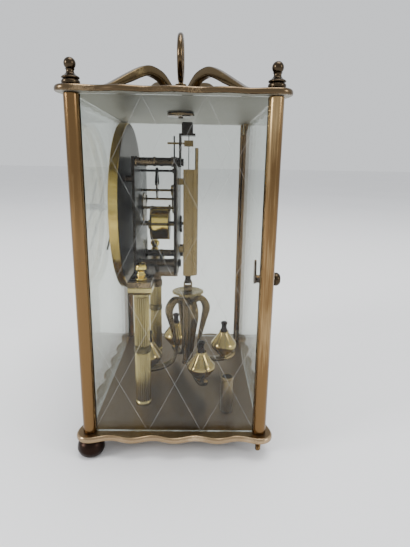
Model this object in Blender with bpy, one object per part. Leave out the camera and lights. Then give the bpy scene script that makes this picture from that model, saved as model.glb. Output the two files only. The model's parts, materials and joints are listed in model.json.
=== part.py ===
# Torsion pendulum table clock in a glazed case: feet, plates, posts, glass, movement, dial and pendulum.
# All sizes are in metres. The front, where the dial is, looks along -Y, and the door is at +Y.

import math

import bmesh
import bpy

FULL_TURN = math.tau

# How finely round pieces are cut
WIDE_SIDES = 32
BROAD_SIDES = 20
ROUND_SIDES = 14
FINE_SIDES = 10
SMALL_SIDES = 8
SMOOTH_ANGLE = math.radians(40)

# Fits shared by the whole clock
SEAT_GAP = 0.0003
HOLE_PLAY = 0.0003
OVERRUN = 0.001
SINK = 0.0005

# Case plates, with a scalloped edge between round corner lobes
POST_SPACING_X = 0.146
POST_SPACING_Y = 0.100
PLATE_GAP = 0.187
BASE_THICKNESS = 0.0034
TOP_THICKNESS = 0.003
LOBE_RADIUS = 0.008
EDGE_SET_OUT = 0.0067
SCALLOPS_LONG = 6
SCALLOPS_SHORT = 4
PLATE_BEVEL = 0.0007
LOBE_STEPS = 6
SCALLOP_STEPS = 4

# Feet with the studs and nuts that hold them; the foot at the back right corner is missing
FOOT_RADIUS = 0.00825
FOOT_HEIGHT = 0.0113
FOOT_SHARES = ((0, 0), (0.55, 0), (0.85, 0.16), (1, 0.45), (0.97, 0.62), (0.8, 0.85), (0.62, 1))
STUD_RADIUS = 0.0016
STUD_BOTTOM = 0.0028
STUD_GRIP = 0.005
STUD_NUT_RADIUS = 0.00355
STUD_NUT_HEIGHT = 0.0023
STUD_NUT_SHARES = ((1, 1), (1, 0.65), (0.62, 0))

# Corner posts and their finials
POST_RADIUS = 0.004
GROOVE_WIDTH = 0.0022
GROOVE_DEPTH = 0.0016
FINIAL_RADIUS = 0.00445
FINIAL_HEIGHT = 0.0125
FINIAL_SHARES = (
    (0.85, 0), (1, 0.09), (0.98, 0.17), (0.78, 0.21), (0.98, 0.26), (0.9, 0.32), (0.46, 0.46),
    (0.5, 0.6), (0.65, 0.77), (0.5, 0.92), (0, 1))

# Glass
GLASS_THICKNESS = 0.003
GLASS_EDGE = 0.0015
GLASS_BEVEL = 0.005
DOOR_THICKNESS = 0.0026
HINGE_SET_IN = 0.008
HINGE_SIDE_REACH = 0.0023
DOOR_PLAY = 0.0008

# Door clips with the hinge pins, the knob and the catch
CLIP_WALL = 0.0008
CLIP_WEB = 0.0009
CLIP_HEIGHT = 0.008
CLIP_LENGTH = 0.0066
CLIP_END = 0.0026
PIN_RADIUS = 0.001
PIN_LENGTH = 0.0025
KNOB_INSET = 0.013
KNOB_LEVEL = 0.091
KNOB_RADIUS = 0.00385
KNOB_REACH = 0.010
KNOB_SHARES = (
    (0.62, 0), (0.62, 0.1), (0.42, 0.22), (0.55, 0.42), (0.88, 0.48), (1, 0.66), (0.88, 0.88),
    (0.45, 0.98), (0, 1))
SPINDLE_RADIUS = 0.0014
CATCH_THICKNESS = 0.0012
CATCH_SET_BACK = 0.0042
CATCH_REACH = 0.0113
CATCH_HUB_RADIUS = 0.0028
CATCH_TIP_WIDTH = 0.0026

# Crown of four scrolled arms, a boss and the ring handle
ARM_END_GAP = 0.0165
ARM_RISE = 0.0166
ARM_WIDTH = 0.0048
ARM_THICKNESS = 0.0058
ARM_CHAMFER_SHARE = 0.2
ARM_SHARES = (
    (0.07, 0.3, 0.9), (0.125, 0.36, 0.95), (0.19, 0.61, 1), (0.278, 0.88, 1), (0.375, 1, 1), (0.458, 1, 0.97),
    (0.556, 0.843, 0.93), (0.667, 0.614, 0.85), (0.778, 0.398, 0.68), (0.889, 0.2, 0.45), (1, 0.07, 0.31))
BOSS_RADIUS = 0.0075
BOSS_SHARES = ((1, 0), (1, 0.32), (0.93, 0.52), (0.76, 0.72), (0.5, 0.88), (0.44, 1))
RING_RADIUS = 0.0128
RING_BAR_RADIUS = 0.00195
RING_LEVEL = 0.02945
RING_STEPS = 20
STEM_RADIUS = 0.0016
STEM_DROP = 0.0034
HANDLE_NUT_RADIUS = 0.009
HANDLE_NUT_HEIGHT = 0.0022

# Key holder
HOLDER_X = 0.050
HOLDER_Y = 0.032
HOLDER_RADIUS = 0.0039
HOLDER_RIM_RADIUS = 0.0042
HOLDER_RIM_HEIGHT = 0.0015
HOLDER_HEIGHT = 0.024
HOLDER_WALL = 0.0007
HOLDER_FLOOR = 0.0015

# Columns, platform and what holds them together
COLUMN_SET_IN = 0.007
COLUMN_Y = -0.0224
COLUMN_SHARE = 0.4337
COLUMN_RADIUS = 0.00525
COLUMN_SHARES = (
    (1, 0), (1, 0.025), (0.91, 0.04), (0.91, 0.447), (1.02, 0.457), (1.02, 0.5), (0.9, 0.51),
    (0.88, 0.9), (1, 0.915), (1, 0.955))
CAPITAL_HALF = 0.00725
CAPITAL_HEIGHT = 0.0049
CAPITAL_SHARES = ((0.74, 0), (0.78, 0.2), (1, 0.36), (1, 1))
COLUMN_STUD_RADIUS = 0.0015
COLUMN_STUD_LENGTH = 0.0085
COLUMN_NUT_RADIUS = 0.00365
COLUMN_NUT_HEIGHT = 0.011
COLUMN_NUT_SHARES = (
    (0.92, 0), (0.92, 0.1), (0.64, 0.18), (0.82, 0.3), (0.62, 0.43), (0.72, 0.49), (1, 0.68),
    (0.85, 0.88), (0.45, 0.98), (0, 1))
PLATFORM_THICKNESS = 0.003
PLATFORM_HALF_LENGTH = 0.049
PLATFORM_FRONT_Y = -0.030
PLATFORM_BACK_Y = -0.0157
TONGUE_HALF_WIDTH = 0.021
TONGUE_BACK_Y = -0.001
SCREW_X = 0.017
SCREW_Y = -0.015
SCREW_HEAD_RADIUS = 0.00335
SCREW_HEAD_HEIGHT = 0.0079
SCREW_SHANK_RADIUS = 0.0013
SCREW_SHARES = ((0, 0), (0.8, 0), (1, 0.12), (1, 0.6), (0.7, 0.68), (0.7, 0.84), (0.9, 0.9), (0.9, 1))

# Movement plates and pillars; depth is counted forward from the middle of the case
MOVEMENT_HALF_WIDTH = 0.030
MOVEMENT_HEIGHT = 0.0735
FRONT_PLATE_DEPTH = 0.0286
BACK_PLATE_DEPTH = 0.003
MOVEMENT_PLATE = 0.0018
PILLAR_RADIUS = 0.0024
PILLAR_STUD_RADIUS = 0.0012
PILLAR_LOW_Z = 0.005
PILLAR_SET_IN = 0.005
PILLAR_HIGH_Z = 0.0706
PLATE_NUT_RADIUS = 0.0026
PLATE_NUT_HEIGHT = 0.002
NUT_SIDES = 6

# Arbors of the train: the wheels lie in named layers between the movement plates
CENTRE_LEVEL = 0.0401
ESCAPE_RISE = 0.0119
ANCHOR_RISE = 0.0248
BARREL_X = -0.010
BARREL_DROP = 0.0118
CENTRE_ARBOR_RADIUS = 0.001
THIN_ARBOR_RADIUS = 0.0008
WHEEL_THICKNESS = 0.0008
PINION_LENGTH = 0.0014
CENTRE_LAYER = 0.025
BARREL_LAYER = 0.0212
ESCAPE_LAYER = 0.016
INTERMEDIATE_LAYER = 0.0076
THIRD_LAYER = 0.0058

# Teeth of the train
CENTRE_TEETH = 48
THIRD_PINION_TEETH = 12
CENTRE_THIRD_DISTANCE = 0.0125
THIRD_TEETH = 36
ESCAPE_PINION_TEETH = 12
THIRD_ESCAPE_DISTANCE = 0.0132
CENTRE_PINION_TEETH = 8
INTERMEDIATE_TEETH = 40
CENTRE_INTERMEDIATE_DISTANCE = 0.012
INTERMEDIATE_PINION_TEETH = 12
BARREL_TEETH = 48
INTERMEDIATE_BARREL_DISTANCE = 0.015
CANNON_TEETH = 12
MINUTE_TEETH = 36
MINUTE_PINION_TEETH = 8
HOUR_TEETH = 32
MOTION_DISTANCE = 0.010
MOTION_TURN = math.radians(-53)
TOOTH_TIP_SHARE = 0.42
TOOTH_ROOT_SHARE = 1.15

# Escapement
ESCAPE_TEETH = 20
ESCAPE_RADIUS = 0.0066
ESCAPE_ROOT_SHARE = 0.76
ESCAPE_LEAN_SHARE = 0.25
PALLET_SPAN_TEETH = 6.5
PALLET_CLEARANCE = 0.0004
PALLET_WIDTH = 0.0006
ANCHOR_HUB_RADIUS = 0.0021
ANCHOR_ARM_WIDTH = 0.0014
ANCHOR_PIN_RADIUS = 0.0005
ANCHOR_PIN_DEPTH = 0.0043
ANCHOR_PIN_LENGTH = 0.0226
COLLET_RADIUS = 0.0016
COLLET_LENGTH = 0.002

# Barrel, mainspring and winding
DRUM_RADIUS = 0.0117
DRUM_WALL = 0.0009
DRUM_LENGTH = 0.0118
WINDING_RADIUS = 0.0015
SQUARE_HALF = 0.0011
WINDING_SQUARE_REACH = 0.0075
SPRING_THICKNESS = 0.0008
SPRING_TURNS = 3
SPRING_STEPS = 13
SPRING_MARGIN = 0.0004
RATCHET_TEETH = 12
RATCHET_RADIUS = 0.0055
RATCHET_ROOT_SHARE = 0.82
RATCHET_THICKNESS = 0.0014
CLICK_DROP = 0.0062
CLICK_PIVOT_RADIUS = 0.0016
CLICK_NOSE = 0.0014
CLICK_SCREW_RADIUS = 0.0008

# Motion work, dial and hands
CANNON_LAYER = 0.0297
HOUR_LAYER = 0.0317
PIPE_RADIUS = 0.0019
PIPE_FRONT = 0.0422
CENTRE_ARBOR_FRONT = 0.046
DIAL_RADIUS = 0.055
DIAL_BACK = 0.0331
DIAL_DEPTH = 0.0055
DIAL_WALL = 0.0008
RIM_WIDTH = 0.0026
RIM_SHARES = ((0.982, 0), (1, 0.2), (1, 0.82), (0.99, 1))
FACE_THICKNESS = 0.001
DIAL_POST_RADIUS = 0.002
DIAL_POST_X = 0.024
DIAL_POST_RISE = 0.020
DIAL_POST_DROP = 0.030
HAND_THICKNESS = 0.0008
HOUR_HAND_DEPTH = 0.0408
MINUTE_HAND_DEPTH = 0.0428
HOUR_HAND_LENGTH = 0.030
MINUTE_HAND_LENGTH = 0.0445
HAND_BOSS_RADIUS = 0.0033
HAND_WIDTH = 0.0034
HAND_TIP_WIDTH = 0.0007
HAND_SHARES = ((0.06, 0.45), (0.3, 0.5), (0.55, 1), (0.7, 0.75))
MINUTE_HAND_TURN = math.radians(120)
HOUR_HAND_TURN = math.radians(310)
HAND_NUT_RADIUS = 0.0024
HAND_NUT_DEPTH = 0.0479
HAND_NUT_SHARES = ((1, 0), (1, 0.35), (0.7, 0.6), (0.75, 0.85), (0.4, 1), (0, 1))

# Suspension, behind the movement
WIRE_Y = 0.0054
WIRE_RADIUS = 0.0003
BRACKET_HALF_WIDTH = 0.0056
BRACKET_THICKNESS = 0.0013
BRACKET_BOTTOM_RISE = 0.0675
BRACKET_TOP_RISE = 0.0889
BRACKET_BACK_Y = 0.0098
BRACKET_LEG = 0.002
WINDOW_BOTTOM_RISE = 0.078
BRACKET_SCREW_RADIUS = 0.0021
BRACKET_SCREW_HEAD = 0.0016
BRACKET_SHANK_RADIUS = 0.0009
BRACKET_SCREW_X = 0.0034
BRACKET_SCREW_RISE = 0.0709
SADDLE_HALF_X = 0.004
SADDLE_LENGTH = 0.0073
SADDLE_HEIGHT = 0.0072
SADDLE_CHAMFER = 0.0008
SADDLE_WIRE_OFFSET = 0.00095
STRIP_GRIP = 0.0045
FORK_HUB_HEIGHT = 0.0039
FORK_HUB_HALF = 0.002
FORK_HUB_DEPTH = 0.006
FORK_REACH = 0.0142
FORK_TINE = 0.0009
FORK_TINE_HEIGHT = 0.0012

# Guard round the lower part of the suspension
GUARD_RADIUS = 0.005
GUARD_WALL = 0.0007
GUARD_LEG_Y = 0.002
GUARD_AXIS_Y = 0.007
GUARD_BOTTOM_DROP = 0.007
GUARD_TOP_RISE = 0.066
GUARD_TONGUE_HALF = 0.0022
GUARD_TONGUE_RISE = 0.080
GUARD_LUG_RISES = (0.010, 0.056)
GUARD_LUG_HEIGHT = 0.004
GUARD_STEPS = 10

# Pendulum, with heights above the base plate
BLOCK_CROWN = 0.003
BLOCK_LIP = 0.0015
BLOCK_HALF_X = 0.0021
BLOCK_HALF_Y = 0.002
BLOCK_SLOT_PLAY = 0.0007
BLOCK_SLOT_HALF = 0.001
BLOCK_PIN_RADIUS = 0.0006
BLOCK_PIN_DROP = 0.0034
HOOK_RISE = 0.0075
HOOK_HALF_WIDTH = 0.00315
HOOK_BAR = 0.0011
HOOK_THICKNESS = 0.0014
HOOK_SHOULDER_SHARE = 0.42
HUB_RADIUS = 0.00305
HUB_NECK_RADIUS = 0.0017
HUB_COLLAR_RADIUS = 0.0052
TUBE_RADIUS = 0.0034
HUB_HEAD_RISE = 0.0085
COLLAR_HEIGHT = 0.005
TUBE_BOTTOM = 0.0115
TUBE_TIP_RADIUS = 0.004
TUBE_TIP = 0.0085
DISC_RADIUS = 0.0112
DISC_THICKNESS = 0.0015
DISC_RISE = 0.0045
DISC_CHAMFER = 0.0004
PENDULUM_REACH = 0.0385
PENDULUM_KNEE = 0.0605
PENDULUM_WIDTH = 0.007
PENDULUM_THICKNESS = 0.005
PENDULUM_TURN = math.radians(20)
PENDULUM_ARMS = 4
PENDULUM_SHARES = (
    (0.12, 0.962, 0.84, 0.8), (0.234, 1, 0.9, 1), (0.325, 0.942, 1, 1), (0.377, 0.843, 1, 1),
    (0.325, 0.694, 1, 0.8), (0.247, 0.496, 1, 0.62), (0.221, 0.331, 1, 0.6), (0.312, 0.198, 1, 0.6),
    (0.519, 0.149, 1, 0.58), (0.779, 0.14, 0.9, 0.56), (0.935, 0.157, 0.6, 0.5), (1, 0.215, 0.4, 0.4))
WEIGHT_CIRCLE = 0.0295
WEIGHT_RADIUS = 0.00975
WEIGHT_CLEARANCE = 0.00033
WEIGHT_HEIGHT = 0.0206
WEIGHT_SHARES = (
    (0.3, 0), (0.3, 0.1), (0.55, 0.12), (0.97, 0.4), (1, 0.47), (0.97, 0.54), (0.36, 0.96), (0.36, 1))
CAP_RADIUS = 0.0026
CAP_HEIGHT = 0.0078
CAP_SHARES = ((1, 0), (1, 0.16), (0.76, 0.3), (0.74, 0.62), (1, 0.78), (0.85, 0.93), (0, 1))

# Levels worked out from the sizes above
BASE_BOTTOM = FOOT_HEIGHT + SEAT_GAP
BASE_TOP = BASE_BOTTOM + BASE_THICKNESS
TOP_BOTTOM = BASE_TOP + PLATE_GAP
TOP_TOP = TOP_BOTTOM + TOP_THICKNESS
CASE_FLOOR = BASE_TOP + SEAT_GAP
CASE_CEILING = TOP_BOTTOM - SEAT_GAP
CROWN_FLOOR = TOP_TOP + SEAT_GAP
HALF_X = POST_SPACING_X / 2
HALF_Y = POST_SPACING_Y / 2
CORNERS = {
    "front_right": (HALF_X, -HALF_Y), "front_left": (-HALF_X, -HALF_Y),
    "back_left": (-HALF_X, HALF_Y), "back_right": (HALF_X, HALF_Y)}
HINGE_X = -HALF_X + HINGE_SET_IN
ARM_REACH = math.hypot(HALF_X, HALF_Y) - ARM_END_GAP
COLUMN_X = PLATFORM_HALF_LENGTH - COLUMN_SET_IN
PILLAR_HIGH_X = MOVEMENT_HALF_WIDTH - PILLAR_SET_IN
COLUMN_HEIGHT = COLUMN_SHARE * PLATE_GAP
COLUMN_TOP = CASE_FLOOR + COLUMN_HEIGHT
PLATFORM_BOTTOM = COLUMN_TOP + SEAT_GAP
PLATFORM_TOP = PLATFORM_BOTTOM + PLATFORM_THICKNESS
MOVEMENT_FLOOR = PLATFORM_TOP + SEAT_GAP
CENTRE_Z = MOVEMENT_FLOOR + CENTRE_LEVEL
FORK_RISE = (WINDOW_BOTTOM_RISE + BRACKET_TOP_RISE - BRACKET_THICKNESS - FORK_HUB_HEIGHT) / 2
COLLAR_TOP = PENDULUM_KNEE
COLLAR_BOTTOM = COLLAR_TOP - COLLAR_HEIGHT
DISC_LEVEL = COLLAR_TOP + DISC_RISE
HUB_TOP = COLLAR_TOP + HUB_HEAD_RISE
HOOK_TOP = HUB_TOP + HOOK_RISE
BLOCK_PIN_LEVEL = HOOK_TOP - BLOCK_PIN_DROP
BLOCK_BOTTOM = BLOCK_PIN_LEVEL - BLOCK_LIP
BLOCK_SLOT_TOP = HOOK_TOP + BLOCK_SLOT_PLAY
BLOCK_TOP = BLOCK_SLOT_TOP + BLOCK_CROWN
SEAT_LEVEL_SHARE = PENDULUM_SHARES[9][1]
SEAT_THICKNESS_SHARE = PENDULUM_SHARES[9][3]
WEIGHT_SEAT = SEAT_LEVEL_SHARE * PENDULUM_KNEE + SEAT_THICKNESS_SHARE * PENDULUM_THICKNESS / 2
WEIGHT_FOOT = WEIGHT_SEAT + WEIGHT_CLEARANCE
FORWARD = (math.pi / 2, 0, 0)
BACKWARD = (-math.pi / 2, 0, 0)


# Shapes are pairs of points and faces, in the piece's own frame

def on_circle(radius, angle):
    return (radius * math.cos(angle), radius * math.sin(angle))


def circle(radius, sides):
    return [on_circle(radius, FULL_TURN * side / sides) for side in range(sides)]


def loft(rings):
    points = [point for ring in rings for point in ring]
    count = len(rings[0])
    faces = [tuple(range(count))]
    faces.append(tuple(range(len(points) - count, len(points))))
    for level in range(len(rings) - 1):
        start = level * count
        for side in range(count):
            after = (side + 1) % count
            faces.append((start + side, start + after, start + count + after, start + count + side))
    return points, faces


def slab(outline, low, high):
    return loft([[(x, y, level) for x, y in outline] for level in (low, high)])


def block(low, high):
    outline = [(low[0], low[1]), (high[0], low[1]), (high[0], high[1]), (low[0], high[1])]
    return slab(outline, low[2], high[2])


def lathe(profile, sides):
    points = []
    faces = []
    rings = []
    for radius, level in profile:
        start = len(points)
        if radius == 0:
            points.append((0, 0, level))
            rings.append([start] * sides)
        else:
            points.extend((x, y, level) for x, y in circle(radius, sides))
            rings.append(list(range(start, start + sides)))
    pairs = list(zip(rings, rings[1:]))
    if profile[0][0] > 0 and profile[-1][0] > 0:
        pairs.append((rings[-1], rings[0]))
    for lower, upper in pairs:
        for side in range(sides):
            after = (side + 1) % sides
            corners = [lower[side], lower[after], upper[after], upper[side]]
            face = tuple(dict.fromkeys(corners))
            if len(face) > 2:
                faces.append(face)
    return points, faces


def rod(radius, low, high, sides=SMALL_SIDES):
    return lathe([(0, low), (radius, low), (radius, high), (0, high)], sides)


def scaled(shares, radius, low, height):
    return [(share * radius, low + rise * height) for share, rise in shares]


def moved(shape, place, turn=0):
    cos, sin = math.cos(turn), math.sin(turn)
    points = [(x * cos - y * sin + place[0], x * sin + y * cos + place[1], z + place[2])
              for x, y, z in shape[0]]
    return points, shape[1]


def tipped(shape):
    # Turns a shape's own Z axis to X
    return [(z, y, -x) for x, y, z in shape[0]], shape[1]


def together(shapes):
    points = []
    faces = []
    for shape in shapes:
        start = len(points)
        points.extend(shape[0])
        faces.extend(tuple(start + corner for corner in face) for face in shape[1])
    return points, faces


def copies(shape, places):
    return together([moved(shape, place) for place in places])


def strap(path, section):
    # Sweeps a section along a path of (reach, height, width, thickness) in the X-Z plane
    rings = []
    for index, (reach, level, width, thickness) in enumerate(path):
        before = path[max(index - 1, 0)]
        ahead = path[min(index + 1, len(path) - 1)]
        run, rise = ahead[0] - before[0], ahead[1] - before[1]
        length = math.hypot(run, rise)
        run, rise = run / length, rise / length
        rings.append([(reach - rise * up * thickness, across * width, level + run * up * thickness)
                      for across, up in section])
    return loft(rings)


# Finishes

def finish(name, colour, roughness, metallic, clear=0):
    material = bpy.data.materials.new(name)
    material.use_nodes = True
    shader = material.node_tree.nodes["Principled BSDF"]
    shader.inputs["Base Color"].default_value = (*colour, 1)
    shader.inputs["Roughness"].default_value = roughness
    shader.inputs["Metallic"].default_value = metallic
    shader.inputs["Transmission Weight"].default_value = clear
    return material


# Objects

def new_object(name, shape, place, turn):
    mesh = bpy.data.meshes.new(name)
    mesh.from_pydata(shape[0], [], shape[1])
    work = bmesh.new()
    work.from_mesh(mesh)
    bmesh.ops.recalc_face_normals(work, faces=work.faces)
    work.to_mesh(mesh)
    work.free()
    mesh.shade_smooth()
    mesh.set_sharp_from_angle(angle=SMOOTH_ANGLE)
    obj = bpy.data.objects.new(name, mesh)
    obj.location = place
    obj.rotation_euler = turn
    bpy.context.scene.collection.objects.link(obj)
    return obj


def piece(name, material, shape, place=(0, 0, 0), turn=(0, 0, 0)):
    obj = new_object(name, shape, place, turn)
    obj.data.materials.append(material)
    return obj


def combine(obj, shape, operation):
    number = len(obj.modifiers) + 1
    tool = new_object(f"{obj.name}_tool_{number}", shape, obj.location, obj.rotation_euler)
    tool.hide_render = True
    tool.display_type = "WIRE"
    change = obj.modifiers.new(operation.lower(), "BOOLEAN")
    change.operation = operation
    change.solver = "EXACT"
    change.object = tool


def cut(obj, shape):
    combine(obj, shape, "DIFFERENCE")


def add(obj, shape):
    combine(obj, shape, "UNION")


# Case plates

def plate_outline(inset):
    points = []
    quarter = FULL_TURN / 4
    sides = (("x", SCALLOPS_LONG), ("y", SCALLOPS_SHORT), ("x", SCALLOPS_LONG), ("y", SCALLOPS_SHORT))
    depth = LOBE_RADIUS - EDGE_SET_OUT
    corners = ((HALF_X, HALF_Y), (-HALF_X, HALF_Y), (-HALF_X, -HALF_Y), (HALF_X, -HALF_Y))
    for index, (corner, (axis, scallops)) in enumerate(zip(corners, sides)):
        start = index * quarter
        for step in range(LOBE_STEPS + 1):
            x, y = on_circle(LOBE_RADIUS - inset, start + quarter * step / LOBE_STEPS)
            points.append((corner[0] + x, corner[1] + y))
        length = POST_SPACING_X if axis == "x" else POST_SPACING_Y
        count = scallops * SCALLOP_STEPS
        for step in range(1, count):
            wave = math.cos(FULL_TURN * scallops * step / count)
            out = EDGE_SET_OUT - inset + depth * wave
            outward = start + quarter
            along = outward + quarter
            x = corner[0] + out * math.cos(outward) + length * step / count * math.cos(along)
            y = corner[1] + out * math.sin(outward) + length * step / count * math.sin(along)
            points.append((x, y))
    return points


def case_plate(bottom, top):
    levels = ((0, bottom), (0, top - PLATE_BEVEL), (PLATE_BEVEL, top))
    return loft([[(x, y, level) for x, y in plate_outline(inset)] for inset, level in levels])


def make_case_plates(material):
    hinge = (HINGE_X, HALF_Y, 0)
    base = piece("base_plate", material, case_plate(BASE_BOTTOM, BASE_TOP))
    low, high = BASE_BOTTOM - OVERRUN, BASE_TOP + OVERRUN
    corners = [(x, y, 0) for x, y in CORNERS.values()]
    cut(base, copies(rod(STUD_RADIUS + HOLE_PLAY, low, high), corners))
    cut(base, moved(rod(PIN_RADIUS + HOLE_PLAY, low, high), hinge))
    top = piece("top_plate", material, case_plate(TOP_BOTTOM, TOP_TOP))
    low, high = TOP_BOTTOM - OVERRUN, TOP_TOP + OVERRUN
    cut(top, copies(rod(STEM_RADIUS + HOLE_PLAY, low, high), corners + [(0, 0, 0)]))
    cut(top, moved(rod(PIN_RADIUS + HOLE_PLAY, low, high), hinge))


def make_feet(material, nut_material):
    hole = STUD_RADIUS + HOLE_PLAY
    bottom = STUD_BOTTOM - SEAT_GAP
    profile = scaled(FOOT_SHARES, FOOT_RADIUS, 0, FOOT_HEIGHT)
    profile += [(hole, FOOT_HEIGHT), (hole, bottom), (0, bottom)]
    for name, (x, y) in CORNERS.items():
        if name != "back_right":
            piece(f"foot_{name}", material, lathe(profile, ROUND_SIDES), (x, y, 0))
    low = FOOT_HEIGHT - STUD_NUT_HEIGHT
    nut = scaled(STUD_NUT_SHARES, STUD_NUT_RADIUS, low, STUD_NUT_HEIGHT) + [(hole, low), (hole, FOOT_HEIGHT)]
    piece("corner_nut", nut_material, lathe(nut, SMALL_SIDES), (*CORNERS["back_right"], 0))


# Posts, finials and glass

def post_section(directions):
    half = GROOVE_WIDTH / 2
    lip = math.asin(half / POST_RADIUS)
    floor = POST_RADIUS - GROOVE_DEPTH
    points = []
    for index, direction in enumerate(directions):
        cos, sin = math.cos(direction), math.sin(direction)
        edge = POST_RADIUS * math.cos(lip)
        for x, y in ((edge, -half), (floor, -half), (floor, half), (edge, half)):
            points.append((x * cos - y * sin, x * sin + y * cos))
        ahead = directions[(index + 1) % len(directions)]
        sweep = (ahead - direction) % FULL_TURN or FULL_TURN
        sweep -= 2 * lip
        steps = round(ROUND_SIDES * sweep / FULL_TURN)
        points += [on_circle(POST_RADIUS, direction + lip + sweep * step / steps) for step in range(1, steps)]
    return points


def make_posts(material):
    quarter = FULL_TURN / 4
    grooves = {"front_right": (quarter, 2 * quarter), "front_left": (0, quarter),
               "back_left": (-quarter,), "back_right": (-quarter,)}
    for name, (x, y) in CORNERS.items():
        post = piece(f"post_{name}", material, slab(post_section(grooves[name]), CASE_FLOOR, CASE_CEILING),
                     (x, y, 0))
        add(post, rod(STUD_RADIUS, STUD_BOTTOM, CASE_FLOOR + STUD_GRIP))
        stem_end = CASE_CEILING - STUD_GRIP - SEAT_GAP
        cut(post, rod(STEM_RADIUS + HOLE_PLAY, stem_end, CASE_CEILING + OVERRUN))


def make_finials(material):
    profile = [(0, CASE_CEILING - STUD_GRIP), (STEM_RADIUS, CASE_CEILING - STUD_GRIP),
               (STEM_RADIUS, CROWN_FLOOR)]
    profile += scaled(FINIAL_SHARES, FINIAL_RADIUS, CROWN_FLOOR, FINIAL_HEIGHT)
    for name, (x, y) in CORNERS.items():
        piece(f"finial_{name}", material, lathe(profile, FINE_SIDES), (x, y, 0))


def pane(left, right, bottom, top, thickness):
    rings = []
    for inset, depth in ((GLASS_BEVEL, -thickness), (0, -GLASS_EDGE), (0, GLASS_EDGE), (GLASS_BEVEL, thickness)):
        corners = ((left + inset, bottom + inset), (right - inset, bottom + inset),
                   (right - inset, top - inset), (left + inset, top - inset))
        rings.append([(x, depth / 2, z) for x, z in corners])
    return loft(rings)


def make_glass(material):
    set_back = POST_RADIUS - GROOVE_DEPTH + SEAT_GAP
    side_half = HALF_Y - set_back
    front_half = HALF_X - set_back
    side = pane(-side_half, side_half, CASE_FLOOR, CASE_CEILING, GLASS_THICKNESS)
    front = pane(-front_half, front_half, CASE_FLOOR, CASE_CEILING, GLASS_THICKNESS)
    piece("glass_right", material, side, (HALF_X, 0, 0), (0, 0, math.pi / 2))
    piece("glass_left", material, side, (-HALF_X, 0, 0), (0, 0, math.pi / 2))
    piece("glass_front", material, front, (0, -HALF_Y, 0))


# Door

def make_door(glass, brass, dark):
    right = HALF_X - POST_RADIUS - DOOR_PLAY - HINGE_X
    rise = CLIP_WEB + SEAT_GAP
    hinge = (HINGE_X, HALF_Y, 0)
    door = piece("door_glass", glass,
                 pane(-HINGE_SIDE_REACH, right, CASE_FLOOR + rise, CASE_CEILING - rise, DOOR_THICKNESS), hinge)
    knob_x = HALF_X - KNOB_INSET
    knob_z = BASE_TOP + KNOB_LEVEL
    hole = rod(SPINDLE_RADIUS + HOLE_PLAY, -DOOR_THICKNESS, DOOR_THICKNESS, FINE_SIDES)
    hole = ([(x + knob_x - HINGE_X, z, y + knob_z) for x, y, z in hole[0]], hole[1])
    cut(door, hole)

    inner = DOOR_THICKNESS / 2 + SEAT_GAP
    outer = inner + CLIP_WALL
    shape = [(-outer, 0), (outer, 0), (outer, CLIP_HEIGHT), (inner, CLIP_HEIGHT), (inner, CLIP_WEB),
             (-inner, CLIP_WEB), (-inner, CLIP_HEIGHT), (-outer, CLIP_HEIGHT)]
    ends = (-CLIP_END, CLIP_LENGTH - CLIP_END)
    for name, end, way in (("door_clip_bottom", CASE_FLOOR, 1), ("door_clip_top", CASE_CEILING, -1)):
        clip = piece(name, brass, loft([[(x, y, end + way * z) for y, z in shape] for x in ends]), hinge)
        pin_ends = sorted((end - way * PIN_LENGTH, end + way * CLIP_WEB / 2))
        add(clip, rod(PIN_RADIUS, *pin_ends))

    face = DOOR_THICKNESS / 2 + SEAT_GAP
    spindle_end = CATCH_SET_BACK + CATCH_THICKNESS
    profile = [(0, -spindle_end), (SPINDLE_RADIUS, -spindle_end), (SPINDLE_RADIUS, face)]
    profile += scaled(KNOB_SHARES, KNOB_RADIUS, face, KNOB_REACH - face)
    piece("door_knob", dark, lathe(profile, ROUND_SIDES), (knob_x, HALF_Y, knob_z), BACKWARD)

    hub = [on_circle(CATCH_HUB_RADIUS, math.pi + math.pi * step / 8) for step in range(9)]
    tip = CATCH_TIP_WIDTH / 2
    lever = hub + [(tip, CATCH_REACH - tip), (0, CATCH_REACH), (-tip, CATCH_REACH - tip)]
    catch = piece("door_catch", brass, slab(lever, CATCH_SET_BACK, CATCH_SET_BACK + CATCH_THICKNESS),
                  (knob_x, HALF_Y, knob_z), FORWARD)
    add(catch, rod(CATCH_HUB_RADIUS - SINK, face, CATCH_SET_BACK + CATCH_THICKNESS / 2, FINE_SIDES))
    cut(catch, rod(SPINDLE_RADIUS + HOLE_PLAY, 0, spindle_end + OVERRUN, FINE_SIDES))


# Crown

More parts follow.
